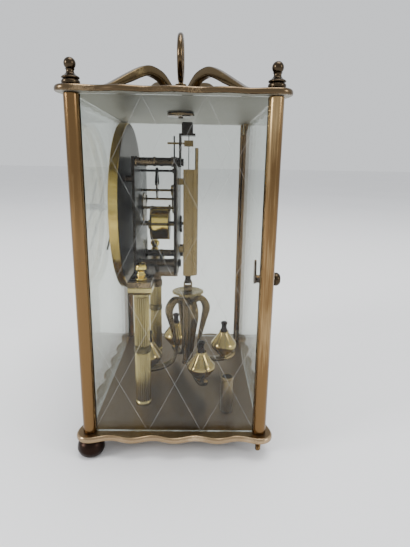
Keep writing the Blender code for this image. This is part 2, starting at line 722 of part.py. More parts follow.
def make_crown(bronze, brass):
    chamfer = ARM_CHAMFER_SHARE
    section = [(-0.5, -0.5), (0.5, -0.5), (0.5, 0.5 - chamfer), (0.5 - chamfer, 0.5),
               (chamfer - 0.5, 0.5), (-0.5, 0.5 - chamfer)]
    path = [(reach * ARM_REACH, CROWN_FLOOR + rise * ARM_RISE, ARM_WIDTH, share * ARM_THICKNESS)
            for reach, rise, share in ARM_SHARES]
    arm = strap(path, section)
    stem_hole = STEM_RADIUS + HOLE_PLAY
    ring_z = TOP_TOP + RING_LEVEL
    ring_bottom = ring_z - RING_RADIUS - RING_BAR_RADIUS
    boss_height = ring_bottom - SEAT_GAP - CROWN_FLOOR
    profile = scaled(BOSS_SHARES, BOSS_RADIUS, CROWN_FLOOR, boss_height)
    profile += [(stem_hole, CROWN_FLOOR + boss_height), (stem_hole, CROWN_FLOOR)]
    crown = piece("crown", bronze, lathe(profile, ROUND_SIDES))
    for x, y in CORNERS.values():
        add(crown, moved(arm, (0, 0, 0), math.atan2(y, x)))

    bar = circle(RING_BAR_RADIUS, SMALL_SIDES)
    points = []
    faces = []
    for step in range(RING_STEPS):
        cos, sin = on_circle(1, FULL_TURN * step / RING_STEPS)
        points += [((RING_RADIUS + x) * cos, y, ring_z + (RING_RADIUS + x) * sin) for x, y in bar]
        near, far = step * SMALL_SIDES, (step + 1) % RING_STEPS * SMALL_SIDES
        for side in range(SMALL_SIDES):
            after = (side + 1) % SMALL_SIDES
            faces.append((near + side, near + after, far + after, far + side))
    handle = piece("ring_handle", brass, (points, faces))
    nut_top = TOP_BOTTOM - SEAT_GAP
    add(handle, rod(STEM_RADIUS, nut_top - STEM_DROP, ring_bottom + RING_BAR_RADIUS))
    add(handle, rod(HANDLE_NUT_RADIUS, nut_top - HANDLE_NUT_HEIGHT, nut_top, ROUND_SIDES))


def make_key_holder(material):
    top = CASE_FLOOR + HOLDER_HEIGHT
    bore = HOLDER_RADIUS - HOLDER_WALL
    rim = top - HOLDER_RIM_HEIGHT
    floor = CASE_FLOOR + HOLDER_FLOOR
    profile = [(0, CASE_FLOOR), (HOLDER_RADIUS, CASE_FLOOR), (HOLDER_RADIUS, rim), (HOLDER_RIM_RADIUS, rim),
               (HOLDER_RIM_RADIUS, top), (bore, top), (bore, floor), (0, floor)]
    piece("key_holder", material, lathe(profile, ROUND_SIDES), (HOLDER_X, HOLDER_Y, 0))


# Columns and platform

def make_columns(brass, bronze, gold):
    profile = [(0, CASE_FLOOR)] + scaled(COLUMN_SHARES, COLUMN_RADIUS, CASE_FLOOR, COLUMN_HEIGHT)
    inside = profile[-1][1]
    stud_top = COLUMN_TOP + COLUMN_STUD_LENGTH
    profile += [(COLUMN_STUD_RADIUS, inside), (COLUMN_STUD_RADIUS, stud_top), (0, stud_top)]
    shaft = lathe(profile, ROUND_SIDES)
    low = COLUMN_TOP - CAPITAL_HEIGHT
    rings = []
    for share, rise in CAPITAL_SHARES:
        half = share * CAPITAL_HALF
        level = low + rise * CAPITAL_HEIGHT
        rings.append([(-half, -half, level), (half, -half, level), (half, half, level), (-half, half, level)])
    for name, x in (("column_right", COLUMN_X), ("column_left", -COLUMN_X)):
        column = piece(name, brass, shaft, (x, COLUMN_Y, 0))
        add(column, loft(rings))

    platform = [(-PLATFORM_HALF_LENGTH, PLATFORM_FRONT_Y), (PLATFORM_HALF_LENGTH, PLATFORM_FRONT_Y),
                (PLATFORM_HALF_LENGTH, PLATFORM_BACK_Y), (TONGUE_HALF_WIDTH, PLATFORM_BACK_Y),
                (TONGUE_HALF_WIDTH, TONGUE_BACK_Y), (-TONGUE_HALF_WIDTH, TONGUE_BACK_Y),
                (-TONGUE_HALF_WIDTH, PLATFORM_BACK_Y), (-PLATFORM_HALF_LENGTH, PLATFORM_BACK_Y)]
    deck = piece("platform", bronze, slab(platform, PLATFORM_BOTTOM, PLATFORM_TOP))
    low, high = PLATFORM_BOTTOM - OVERRUN, PLATFORM_TOP + OVERRUN
    column_places = [(COLUMN_X, COLUMN_Y, 0), (-COLUMN_X, COLUMN_Y, 0)]
    screw_places = [(SCREW_X, SCREW_Y, 0), (-SCREW_X, SCREW_Y, 0)]
    cut(deck, copies(rod(COLUMN_STUD_RADIUS + HOLE_PLAY, low, high), column_places))
    cut(deck, copies(rod(SCREW_SHANK_RADIUS + HOLE_PLAY, low, high), screw_places))

    nut_floor = PLATFORM_TOP + SEAT_GAP
    bore = COLUMN_STUD_RADIUS + HOLE_PLAY
    bore_end = stud_top + SEAT_GAP
    nut = [(0, bore_end), (bore, bore_end), (bore, nut_floor)]
    nut += scaled(COLUMN_NUT_SHARES, COLUMN_NUT_RADIUS, nut_floor, COLUMN_NUT_HEIGHT)
    for side, place in zip(("right", "left"), column_places):
        piece(f"column_nut_{side}", gold, lathe(nut, ROUND_SIDES), place)

    head_top = PLATFORM_BOTTOM - SEAT_GAP
    screw = scaled(SCREW_SHARES, SCREW_HEAD_RADIUS, head_top - SCREW_HEAD_HEIGHT, SCREW_HEAD_HEIGHT)
    tip = MOVEMENT_FLOOR + PILLAR_LOW_Z - PILLAR_RADIUS - SEAT_GAP
    screw += [(SCREW_SHANK_RADIUS, head_top), (SCREW_SHANK_RADIUS, tip), (0, tip)]
    for side, place in zip(("right", "left"), screw_places):
        piece(f"platform_screw_{side}", bronze, lathe(screw, FINE_SIDES), place)


# Gears: each pair shares one tooth size, and each wheel is turned so that its teeth fall in its neighbour's gaps

def pitch_radius(teeth, mate, distance):
    return distance * teeth / (teeth + mate)


def gear_outline(teeth, mate, distance, turn):
    radius = pitch_radius(teeth, mate, distance)
    size = 2 * radius / teeth
    step = FULL_TURN / teeth
    points = []
    for tooth in range(teeth):
        points.append(on_circle(radius + TOOTH_TIP_SHARE * size, turn + tooth * step))
        points.append(on_circle(radius - TOOTH_ROOT_SHARE * size, turn + (tooth + 0.5) * step))
    return points


def meshed_turn(teeth, mate_teeth, mate_turn, direction):
    # The turn that puts a gap where the mate has a tooth; direction points from the mate to this gear
    mate_step = FULL_TURN / mate_teeth
    phase = ((direction - mate_turn) / mate_step) % 1
    step = FULL_TURN / teeth
    return direction + math.pi + (phase - 0.5) * step


def direction_between(start, end):
    return math.atan2(end[1] - start[1], end[0] - start[0])


def crossing(first, first_distance, second, second_distance, side):
    # The point at the given distances from two others, on one side of the line between them
    apart = math.dist(first, second)
    along = (first_distance ** 2 - second_distance ** 2 + apart ** 2) / (2 * apart)
    off = side * math.sqrt(first_distance ** 2 - along ** 2)
    run, rise = (second[0] - first[0]) / apart, (second[1] - first[1]) / apart
    return (first[0] + along * run - off * rise, first[1] + along * rise + off * run)


CENTRE = (0, CENTRE_Z)
ESCAPE = (0, CENTRE_Z + ESCAPE_RISE)
ANCHOR = (0, CENTRE_Z + ANCHOR_RISE)
BARREL = (BARREL_X, CENTRE_Z - BARREL_DROP)
THIRD = crossing(CENTRE, CENTRE_THIRD_DISTANCE, ESCAPE, THIRD_ESCAPE_DISTANCE, 1)
INTERMEDIATE = crossing(CENTRE, CENTRE_INTERMEDIATE_DISTANCE, BARREL, INTERMEDIATE_BARREL_DISTANCE, 1)
MINUTE_WORK = tuple(middle + way for middle, way in zip(CENTRE, on_circle(MOTION_DISTANCE, MOTION_TURN)))
PLATE_FRONT_FACE = FRONT_PLATE_DEPTH
PLATE_INNER_FRONT = FRONT_PLATE_DEPTH - MOVEMENT_PLATE
PLATE_INNER_BACK = BACK_PLATE_DEPTH
PLATE_BACK_FACE = BACK_PLATE_DEPTH - MOVEMENT_PLATE
CLICK = (BARREL[0] - RATCHET_RADIUS - SEAT_GAP - CLICK_PIVOT_RADIUS, BARREL[1] - CLICK_DROP)
LOW_PILLARS = [(side * SCREW_X, MOVEMENT_FLOOR + PILLAR_LOW_Z) for side in (1, -1)]
HIGH_PILLARS = [(side * PILLAR_HIGH_X, MOVEMENT_FLOOR + PILLAR_HIGH_Z) for side in (1, -1)]


def at(point):
    return (point[0], 0, point[1])


def layered(outline, middle, thickness):
    return slab(outline, middle - thickness / 2, middle + thickness / 2)


def make_movement_frame(plate_metal):
    bottom, top = MOVEMENT_FLOOR, MOVEMENT_FLOOR + MOVEMENT_HEIGHT
    pillars = LOW_PILLARS + HIGH_PILLARS
    holes = [(ESCAPE, THIN_ARBOR_RADIUS), (THIRD, THIN_ARBOR_RADIUS), (INTERMEDIATE, CENTRE_ARBOR_RADIUS),
             (CENTRE, CENTRE_ARBOR_RADIUS), (BARREL, WINDING_RADIUS), (ANCHOR, THIN_ARBOR_RADIUS)]
    screw_level = MOVEMENT_FLOOR + BRACKET_SCREW_RISE
    back_holes = [((side * BRACKET_SCREW_X, screw_level), BRACKET_SHANK_RADIUS) for side in (1, -1)]
    back_holes += [(pillar, PILLAR_STUD_RADIUS) for pillar in pillars]
    outline = [(-MOVEMENT_HALF_WIDTH, bottom), (MOVEMENT_HALF_WIDTH, bottom), (MOVEMENT_HALF_WIDTH, top),
               (-MOVEMENT_HALF_WIDTH, top)]
    plates = []
    for name, low, high, drilled in (("front_plate", PLATE_INNER_FRONT, PLATE_FRONT_FACE, holes),
                                     ("back_plate", PLATE_BACK_FACE, PLATE_INNER_BACK, holes + back_holes)):
        plate = piece(name, plate_metal, slab(outline, low, high), (0, 0, 0), FORWARD)
        cut(plate, together([moved(rod(radius + HOLE_PLAY, low - OVERRUN, high + OVERRUN), (x, z, 0))
                             for (x, z), radius in drilled]))
        plates.append(plate)
    front, back = plates

    # The pillars are riveted into the front plate, and their nuts hold the back plate
    shoulder = PLATE_INNER_BACK + SEAT_GAP
    nut_face = PLATE_BACK_FACE - SEAT_GAP
    end = nut_face - PLATE_NUT_HEIGHT
    profile = [(0, end), (PLATE_NUT_RADIUS, end), (PLATE_NUT_RADIUS, nut_face), (PILLAR_STUD_RADIUS, nut_face),
               (PILLAR_STUD_RADIUS, shoulder), (PILLAR_RADIUS, shoulder),
               (PILLAR_RADIUS, PLATE_INNER_FRONT + SINK), (0, PLATE_INNER_FRONT + SINK)]
    add(front, copies(lathe(profile, SMALL_SIDES), [(x, z, 0) for x, z in pillars]))
    stud_end = HOUR_LAYER + PINION_LENGTH / 2
    add(front, moved(rod(THIN_ARBOR_RADIUS, PLATE_FRONT_FACE - SINK, stud_end), (*MINUTE_WORK, 0)))
    stud_end = nut_face - RATCHET_THICKNESS
    add(back, moved(rod(CLICK_SCREW_RADIUS, stud_end, PLATE_BACK_FACE + SINK), (*CLICK, 0)))


def make_train(metal, dark):
    arbor_low, arbor_high = PLATE_BACK_FACE, PLATE_FRONT_FACE
    pinion = PINION_LENGTH

    third_way = direction_between(CENTRE, THIRD)
    centre_turn = 0
    third_pinion_turn = meshed_turn(THIRD_PINION_TEETH, CENTRE_TEETH, centre_turn, third_way)
    third_turn = third_pinion_turn
    escape_way = direction_between(THIRD, ESCAPE)
    escape_pinion_turn = meshed_turn(ESCAPE_PINION_TEETH, THIRD_TEETH, third_turn, escape_way)
    intermediate_way = direction_between(CENTRE, INTERMEDIATE)
    intermediate_turn = meshed_turn(INTERMEDIATE_TEETH, CENTRE_PINION_TEETH, centre_turn, intermediate_way)
    barrel_way = direction_between(INTERMEDIATE, BARREL)
    barrel_turn = meshed_turn(BARREL_TEETH, INTERMEDIATE_PINION_TEETH, intermediate_turn, barrel_way)

    centre = piece("centre_wheel", metal, rod(CENTRE_ARBOR_RADIUS, arbor_low, CENTRE_ARBOR_FRONT),
                   at(CENTRE), FORWARD)
    wheel = gear_outline(CENTRE_TEETH, THIRD_PINION_TEETH, CENTRE_THIRD_DISTANCE, centre_turn)
    add(centre, layered(wheel, CENTRE_LAYER, WHEEL_THICKNESS))
    leaves = gear_outline(CENTRE_PINION_TEETH, INTERMEDIATE_TEETH, CENTRE_INTERMEDIATE_DISTANCE, centre_turn)
    add(centre, layered(leaves, INTERMEDIATE_LAYER, pinion))
    cannon = gear_outline(CANNON_TEETH, MINUTE_TEETH, MOTION_DISTANCE, centre_turn)
    add(centre, layered(cannon, CANNON_LAYER, WHEEL_THICKNESS))

    third = piece("third_wheel", metal, rod(THIN_ARBOR_RADIUS, arbor_low, arbor_high), at(THIRD), FORWARD)
    wheel = gear_outline(THIRD_TEETH, ESCAPE_PINION_TEETH, THIRD_ESCAPE_DISTANCE, third_turn)
    add(third, layered(wheel, THIRD_LAYER, WHEEL_THICKNESS))
    leaves = gear_outline(THIRD_PINION_TEETH, CENTRE_TEETH, CENTRE_THIRD_DISTANCE, third_pinion_turn)
    add(third, layered(leaves, CENTRE_LAYER, pinion))

    escape = piece("escape_wheel", metal, rod(THIN_ARBOR_RADIUS, arbor_low, arbor_high), at(ESCAPE), FORWARD)
    add(escape, layered(escape_outline(), ESCAPE_LAYER, WHEEL_THICKNESS))
    leaves = gear_outline(ESCAPE_PINION_TEETH, THIRD_TEETH, THIRD_ESCAPE_DISTANCE, escape_pinion_turn)
    add(escape, layered(leaves, THIRD_LAYER, pinion))

    middle = piece("intermediate_wheel", metal, rod(CENTRE_ARBOR_RADIUS, arbor_low, arbor_high),
                   at(INTERMEDIATE), FORWARD)
    wheel = gear_outline(INTERMEDIATE_TEETH, CENTRE_PINION_TEETH, CENTRE_INTERMEDIATE_DISTANCE,
                         intermediate_turn)
    add(middle, layered(wheel, INTERMEDIATE_LAYER, WHEEL_THICKNESS))
    leaves = gear_outline(INTERMEDIATE_PINION_TEETH, BARREL_TEETH, INTERMEDIATE_BARREL_DISTANCE,
                          intermediate_turn)
    add(middle, layered(leaves, BARREL_LAYER, pinion - SEAT_GAP))

    drum_front = BARREL_LAYER - WHEEL_THICKNESS
    drum_back = drum_front - DRUM_LENGTH
    bore = WINDING_RADIUS + HOLE_PLAY
    inside = DRUM_RADIUS - DRUM_WALL
    profile = [(bore, drum_front), (DRUM_RADIUS, drum_front), (DRUM_RADIUS, drum_back), (bore, drum_back),
               (bore, drum_back + DRUM_WALL), (inside, drum_back + DRUM_WALL),
               (inside, drum_front - DRUM_WALL), (bore, drum_front - DRUM_WALL)]
    barrel = piece("barrel", metal, lathe(profile, BROAD_SIDES), at(BARREL), FORWARD)
    wheel = gear_outline(BARREL_TEETH, INTERMEDIATE_PINION_TEETH, INTERMEDIATE_BARREL_DISTANCE, barrel_turn)
    add(barrel, slab(wheel, drum_front - DRUM_WALL / 2, BARREL_LAYER + WHEEL_THICKNESS / 2))
    cut(barrel, rod(bore, drum_front - DRUM_WALL - SINK, BARREL_LAYER + OVERRUN, BROAD_SIDES))

    spiral = []
    count = SPRING_TURNS * SPRING_STEPS
    first = WINDING_RADIUS + SPRING_MARGIN + SPRING_THICKNESS
    last = (inside - SPRING_MARGIN) * math.cos(math.pi / SPRING_STEPS) - SPRING_THICKNESS / 2
    for edge in (-1, 1):
        side = []
        for step in range(count + 1):
            radius = first + (last - first) * step / count + edge * SPRING_THICKNESS / 2
            side.append(on_circle(radius, FULL_TURN * step / SPRING_STEPS))
        spiral += side if edge < 0 else side[::-1]
    margin = DRUM_WALL + SEAT_GAP
    piece("mainspring", dark, slab(spiral, drum_back + margin, drum_front - margin), at(BARREL), FORWARD)


def make_motion_work(metal):
    minute_way = MOTION_TURN
    minute_turn = meshed_turn(MINUTE_TEETH, CANNON_TEETH, 0, minute_way)
    hour_way = minute_way + math.pi
    hour_turn = meshed_turn(HOUR_TEETH, MINUTE_PINION_TEETH, minute_turn, hour_way)
    wheel = gear_outline(MINUTE_TEETH, CANNON_TEETH, MOTION_DISTANCE, minute_turn)
    leaves = gear_outline(MINUTE_PINION_TEETH, HOUR_TEETH, MOTION_DISTANCE, minute_turn)
    minute = piece("minute_wheel", metal, layered(wheel, CANNON_LAYER, WHEEL_THICKNESS), at(MINUTE_WORK),
                   FORWARD)
    add(minute, slab(leaves, CANNON_LAYER, HOUR_LAYER + WHEEL_THICKNESS / 2))
    bore = THIN_ARBOR_RADIUS + HOLE_PLAY
    cut(minute, rod(bore, CANNON_LAYER - OVERRUN, HOUR_LAYER + OVERRUN))

    wheel = gear_outline(HOUR_TEETH, MINUTE_PINION_TEETH, MOTION_DISTANCE, hour_turn)
    hour = piece("hour_wheel", metal, layered(wheel, HOUR_LAYER, WHEEL_THICKNESS), at(CENTRE), FORWARD)
    add(hour, rod(PIPE_RADIUS, HOUR_LAYER, PIPE_FRONT, FINE_SIDES))
    cut(hour, rod(CENTRE_ARBOR_RADIUS + HOLE_PLAY, HOUR_LAYER - OVERRUN, PIPE_FRONT + OVERRUN,
                  FINE_SIDES))


# Escapement

def escape_outline():
    step = FULL_TURN / ESCAPE_TEETH
    start = FULL_TURN / 4
    points = []
    for tooth in range(ESCAPE_TEETH):
        points.append(on_circle(ESCAPE_RADIUS, start + tooth * step))
        points.append(on_circle(ESCAPE_RADIUS * ESCAPE_ROOT_SHARE, start + (tooth + ESCAPE_LEAN_SHARE) * step))
    return points


def make_anchor(metal):
    half_span = PALLET_SPAN_TEETH / 2 * FULL_TURN / ESCAPE_TEETH
    reach = ESCAPE_RADIUS + PALLET_CLEARANCE
    rise = ANCHOR_RISE - ESCAPE_RISE
    tip = (reach * math.sin(half_span), reach * math.cos(half_span) - rise)
    outward = (math.sin(half_span), math.cos(half_span))
    along = (outward[1], -outward[0])
    half = PALLET_WIDTH / 2
    inner = [(tip[0] + side * along[0] * half, tip[1] + side * along[1] * half) for side in (-1, 1)]
    root = [(x + outward[0] * ANCHOR_ARM_WIDTH, y + outward[1] * ANCHOR_ARM_WIDTH) for x, y in inner]
    shoulder = (root[1][0] + ANCHOR_ARM_WIDTH / 2, root[1][1] + ANCHOR_ARM_WIDTH)
    hub = ANCHOR_HUB_RADIUS
    right = [(hub * math.sin(math.pi / 4), hub * math.cos(math.pi / 4)), shoulder, root[1], inner[1],
             inner[0], root[0]]
    left = [(-x, y) for x, y in reversed(right)]
    outline = right + [(0, -hub)] + left + [(0, hub)]
    anchor = piece("anchor", metal, layered(outline, ESCAPE_LAYER, WHEEL_THICKNESS * 2), at(ANCHOR), FORWARD)
    add(anchor, rod(THIN_ARBOR_RADIUS, PLATE_BACK_FACE, PLATE_FRONT_FACE))
    collet_low = ANCHOR_PIN_DEPTH - COLLET_LENGTH / 2 + SEAT_GAP
    add(anchor, rod(COLLET_RADIUS, collet_low, collet_low + COLLET_LENGTH))
    pin = rod(ANCHOR_PIN_RADIUS, 0, ANCHOR_PIN_LENGTH)
    pin = ([(x, z, y + ANCHOR_PIN_DEPTH) for x, y, z in pin[0]], pin[1])
    add(anchor, pin)


# Winding

def make_winding(metal, dark):
    ratchet_high = PLATE_BACK_FACE - SEAT_GAP
    ratchet_low = ratchet_high - RATCHET_THICKNESS
    arbor = piece("winding_arbor", dark, rod(WINDING_RADIUS, ratchet_low, PLATE_FRONT_FACE, FINE_SIDES),
                  at(BARREL), FORWARD)
    step = FULL_TURN / RATCHET_TEETH
    points = []
    for tooth in range(RATCHET_TEETH):
        points.append(on_circle(RATCHET_RADIUS, tooth * step))
        points.append(on_circle(RATCHET_RADIUS * RATCHET_ROOT_SHARE, tooth * step))
    add(arbor, slab(points, ratchet_low, ratchet_high))
    square = SQUARE_HALF
    add(arbor, block((-square, -square, -WINDING_SQUARE_REACH), (square, square, ratchet_high)))

    # The nose lies in the gap below the tooth that points straight at it
    hub = [on_circle(CLICK_PIVOT_RADIUS, math.pi + math.pi * step / 6) for step in range(7)]
    rise = CLICK_DROP - SEAT_GAP
    bite = RATCHET_RADIUS * (1 - RATCHET_ROOT_SHARE)
    outline = hub + [(CLICK_PIVOT_RADIUS, rise - CLICK_NOSE), (CLICK_PIVOT_RADIUS + bite, rise),
                     (CLICK_PIVOT_RADIUS - CLICK_NOSE, rise)]
    click = piece("click", dark, slab(outline, ratchet_low, ratchet_high), at(CLICK), FORWARD)
    cut(click, rod(CLICK_SCREW_RADIUS + HOLE_PLAY, ratchet_low - OVERRUN, ratchet_high + OVERRUN))


# Dial and hands

def make_dial(brass, face_finish, dark):
    hole = PIPE_RADIUS + 2 * HOLE_PLAY
    front = DIAL_BACK + DIAL_DEPTH
    inside = DIAL_RADIUS - RIM_WIDTH
    floor = DIAL_BACK + DIAL_WALL
    profile = [(hole, DIAL_BACK)] + scaled(RIM_SHARES, DIAL_RADIUS, DIAL_BACK, DIAL_DEPTH)
    profile += [(inside, front), (inside, floor), (hole, floor)]
    pan = piece("dial_pan", brass, lathe(profile, WIDE_SIDES), at(CENTRE), FORWARD)
    post = rod(DIAL_POST_RADIUS, PLATE_FRONT_FACE + SEAT_GAP, DIAL_BACK + DIAL_WALL / 2)
    places = [(DIAL_POST_X, DIAL_POST_RISE, 0), (-DIAL_POST_X, DIAL_POST_RISE, 0), (0, -DIAL_POST_DROP, 0)]
    add(pan, copies(post, places))

    low = floor + SEAT_GAP
    edge = inside * math.cos(math.pi / WIDE_SIDES) - SEAT_GAP
    profile = [(hole, low), (edge, low), (edge, low + FACE_THICKNESS), (hole, low + FACE_THICKNESS)]
    piece("dial_face", face_finish, lathe(profile, WIDE_SIDES), at(CENTRE), FORWARD)

    hand = make_hand("hour_hand", dark, HOUR_HAND_LENGTH, HOUR_HAND_DEPTH, HOUR_HAND_TURN)
    bore_hand(hand, HOUR_HAND_DEPTH, PIPE_RADIUS, HOUR_HAND_DEPTH + HAND_THICKNESS + OVERRUN)
    hand = make_hand("minute_hand", dark, MINUTE_HAND_LENGTH, MINUTE_HAND_DEPTH, MINUTE_HAND_TURN)
    low = MINUTE_HAND_DEPTH + HAND_THICKNESS / 2
    knob = [(0, low)] + scaled(HAND_NUT_SHARES, HAND_NUT_RADIUS, low, HAND_NUT_DEPTH - low)
    add(hand, lathe(knob, FINE_SIDES))
    bore_hand(hand, MINUTE_HAND_DEPTH, CENTRE_ARBOR_RADIUS, CENTRE_ARBOR_FRONT + SEAT_GAP)


def make_hand(name, material, length, depth, turn):
    # The hand is drawn pointing up and turned clockwise as seen from the front
    half = HAND_WIDTH / 2
    side = [(share * half, reach * length) for reach, share in HAND_SHARES]
    tip = HAND_TIP_WIDTH / 2
    outline = side + [(tip, length), (-tip, length)] + [(-x, y) for x, y in reversed(side)]
    cos, sin = math.cos(turn), math.sin(turn)
    outline = [(x * cos + y * sin, y * cos - x * sin) for x, y in outline]
    hand = piece(name, material, slab(outline, depth, depth + HAND_THICKNESS), at(CENTRE), FORWARD)
    add(hand, rod(HAND_BOSS_RADIUS, depth, depth + HAND_THICKNESS, ROUND_SIDES))
    return hand


def bore_hand(hand, depth, arbor_radius, end):
    cut(hand, rod(arbor_radius + HOLE_PLAY, depth - OVERRUN, end, FINE_SIDES))


# Suspension

def make_suspension(brass, dark, steel):
    front = SEAT_GAP - PLATE_BACK_FACE
    back = front + BRACKET_THICKNESS
    low = MOVEMENT_FLOOR + BRACKET_BOTTOM_RISE
    top = MOVEMENT_FLOOR + BRACKET_TOP_RISE
    shelf = top - BRACKET_THICKNESS
    half = BRACKET_HALF_WIDTH
    shape = [(front, low), (back, low), (back, shelf), (BRACKET_BACK_Y, shelf), (BRACKET_BACK_Y, top),
             (front, top)]
    bracket = piece("suspension_bracket", dark, loft([[(x, y, z) for y, z in shape] for x in (-half, half)]))
    window = half - BRACKET_LEG
    window_low = MOVEMENT_FLOOR + WINDOW_BOTTOM_RISE
    cut(bracket, block((-window, front - OVERRUN, window_low), (window, back + OVERRUN, shelf - OVERRUN)))
    level = MOVEMENT_FLOOR + BRACKET_SCREW_RISE
    shank = BRACKET_SHANK_RADIUS
    tip = SEAT_GAP - PLATE_INNER_BACK
    head_end = back + BRACKET_SCREW_HEAD
    profile = [(0, tip), (shank, tip), (shank, back - SINK), (BRACKET_SCREW_RADIUS, back - SINK),
               (BRACKET_SCREW_RADIUS, head_end), (0, head_end)]
    for side in (1, -1):
        points, faces = lathe(profile, SMALL_SIDES)
        add(bracket, ([(x + side * BRACKET_SCREW_X, z, y + level) for x, y, z in points], faces))

    saddle_low = top - SINK
    saddle_top = top + SADDLE_HEIGHT
    middle = WIRE_Y - SADDLE_WIRE_OFFSET
    rings = []
    for inset, height in ((0, saddle_low), (0, saddle_top - SADDLE_CHAMFER), (SADDLE_CHAMFER, saddle_top)):
        x, y = SADDLE_HALF_X - inset, SADDLE_LENGTH / 2 - inset
        rings.append([(-x, middle - y, height), (x, middle - y, height), (x, middle + y, height),
                      (-x, middle + y, height)])
    add(bracket, loft(rings))
    grip_end = top + STRIP_GRIP
    wire_hole = rod(WIRE_RADIUS + HOLE_PLAY, shelf - OVERRUN, grip_end + SEAT_GAP)
    cut(bracket, moved(wire_hole, (0, WIRE_Y, 0)))
    wire_low = BASE_TOP + BLOCK_TOP + SEAT_GAP
    piece("suspension_strip", steel, rod(WIRE_RADIUS, wire_low, grip_end, NUT_SIDES), (0, WIRE_Y, 0))

    fork_low = MOVEMENT_FLOOR + FORK_RISE
    fork_top = fork_low + FORK_HUB_HEIGHT
    hub_half, deep = FORK_HUB_HALF, FORK_HUB_DEPTH / 2
    fork = piece("fork", brass, block((-hub_half, -deep, fork_low), (hub_half, deep, fork_top)),
                 (0, WIRE_Y, 0))
    gap = ANCHOR_PIN_RADIUS + SEAT_GAP
    wide = gap + FORK_TINE
    root = -deep + SINK
    outline = [(-wide, root), (-wide, -FORK_REACH), (-gap, -FORK_REACH), (-gap, -deep - SINK),
               (gap, -deep - SINK), (gap, -FORK_REACH), (wide, -FORK_REACH), (wide, root)]
    middle = (fork_low + fork_top) / 2
    add(fork, slab(outline, middle - FORK_TINE_HEIGHT / 2, middle + FORK_TINE_HEIGHT / 2))
    cut(fork, rod(WIRE_RADIUS + HOLE_PLAY, fork_low - OVERRUN, fork_top + OVERRUN))


def make_guard(material):
    low = MOVEMENT_FLOOR - GUARD_BOTTOM_DROP
    top = MOVEMENT_FLOOR + GUARD_TOP_RISE
    inner = GUARD_RADIUS - GUARD_WALL
    outline = []
    for radius, way in ((GUARD_RADIUS, 1), (inner, -1)):
        arc = [on_circle(radius, math.pi * step / GUARD_STEPS) for step in range(GUARD_STEPS + 1)]
        side = [(radius, GUARD_LEG_Y)] + [(x, y + GUARD_AXIS_Y) for x, y in arc] + [(-radius, GUARD_LEG_Y)]
        outline += side[::way]
    guard = piece("guard", material, slab(outline, low, top))
    plate_face = SEAT_GAP - PLATE_BACK_FACE
    for rise in GUARD_LUG_RISES:
        for left, right in ((-GUARD_RADIUS, -inner), (inner, GUARD_RADIUS)):
            level = MOVEMENT_FLOOR + rise
            add(guard, block((left, plate_face, level), (right, GUARD_LEG_Y + SINK, level + GUARD_LUG_HEIGHT)))
    half = GUARD_TONGUE_HALF
    near = GUARD_AXIS_Y + inner - SINK
    add(guard, block((-half, near, top - GUARD_LUG_HEIGHT),
                     (half, near + GUARD_WALL, MOVEMENT_FLOOR + GUARD_TONGUE_RISE)))


# Pendulum

def make_bottom_block(material):
    half, deep = BLOCK_HALF_X, BLOCK_HALF_Y
    slot = BLOCK_SLOT_HALF
    shape = [(-half, BLOCK_BOTTOM), (-slot, BLOCK_BOTTOM), (-slot, BLOCK_SLOT_TOP), (slot, BLOCK_SLOT_TOP),
             (slot, BLOCK_BOTTOM), (half, BLOCK_BOTTOM), (half, BLOCK_TOP), (-half, BLOCK_TOP)]
    body = loft([[(x, y, BASE_TOP + z) for x, z in shape] for y in (-deep, deep)])
    obj = piece("bottom_block", material, body, (0, WIRE_Y, 0))
    pin = tipped(rod(BLOCK_PIN_RADIUS, -half - SINK, half + SINK))
    add(obj, moved(pin, (0, 0, BASE_TOP + BLOCK_PIN_LEVEL)))


def add_hook(body):
    half, low, top = HOOK_HALF_WIDTH, BASE_TOP + HUB_TOP - SINK, BASE_TOP + HOOK_TOP
    shoulder = low + HOOK_SHOULDER_SHARE * (top - low)
    slope = (top - shoulder) / half
    peak = top - HOOK_BAR * math.hypot(1, slope)
    inner = half - HOOK_BAR
    inner_shoulder = peak - slope * inner
    outer_shape = [(-half, low), (half, low), (half, shoulder), (0, top), (-half, shoulder)]
    floor = low + SINK + HOOK_BAR
    inner_shape = [(-inner, floor), (inner, floor), (inner, inner_shoulder), (0, peak), (-inner, inner_shoulder)]
    thick = HOOK_THICKNESS / 2
    add(body, loft([[(x, y, z) for y, z in outer_shape] for x in (-thick, thick)]))
    reach = thick + OVERRUN
    cut(body, loft([[(x, y, z) for y, z in inner_shape] for x in (-reach, reach)]))


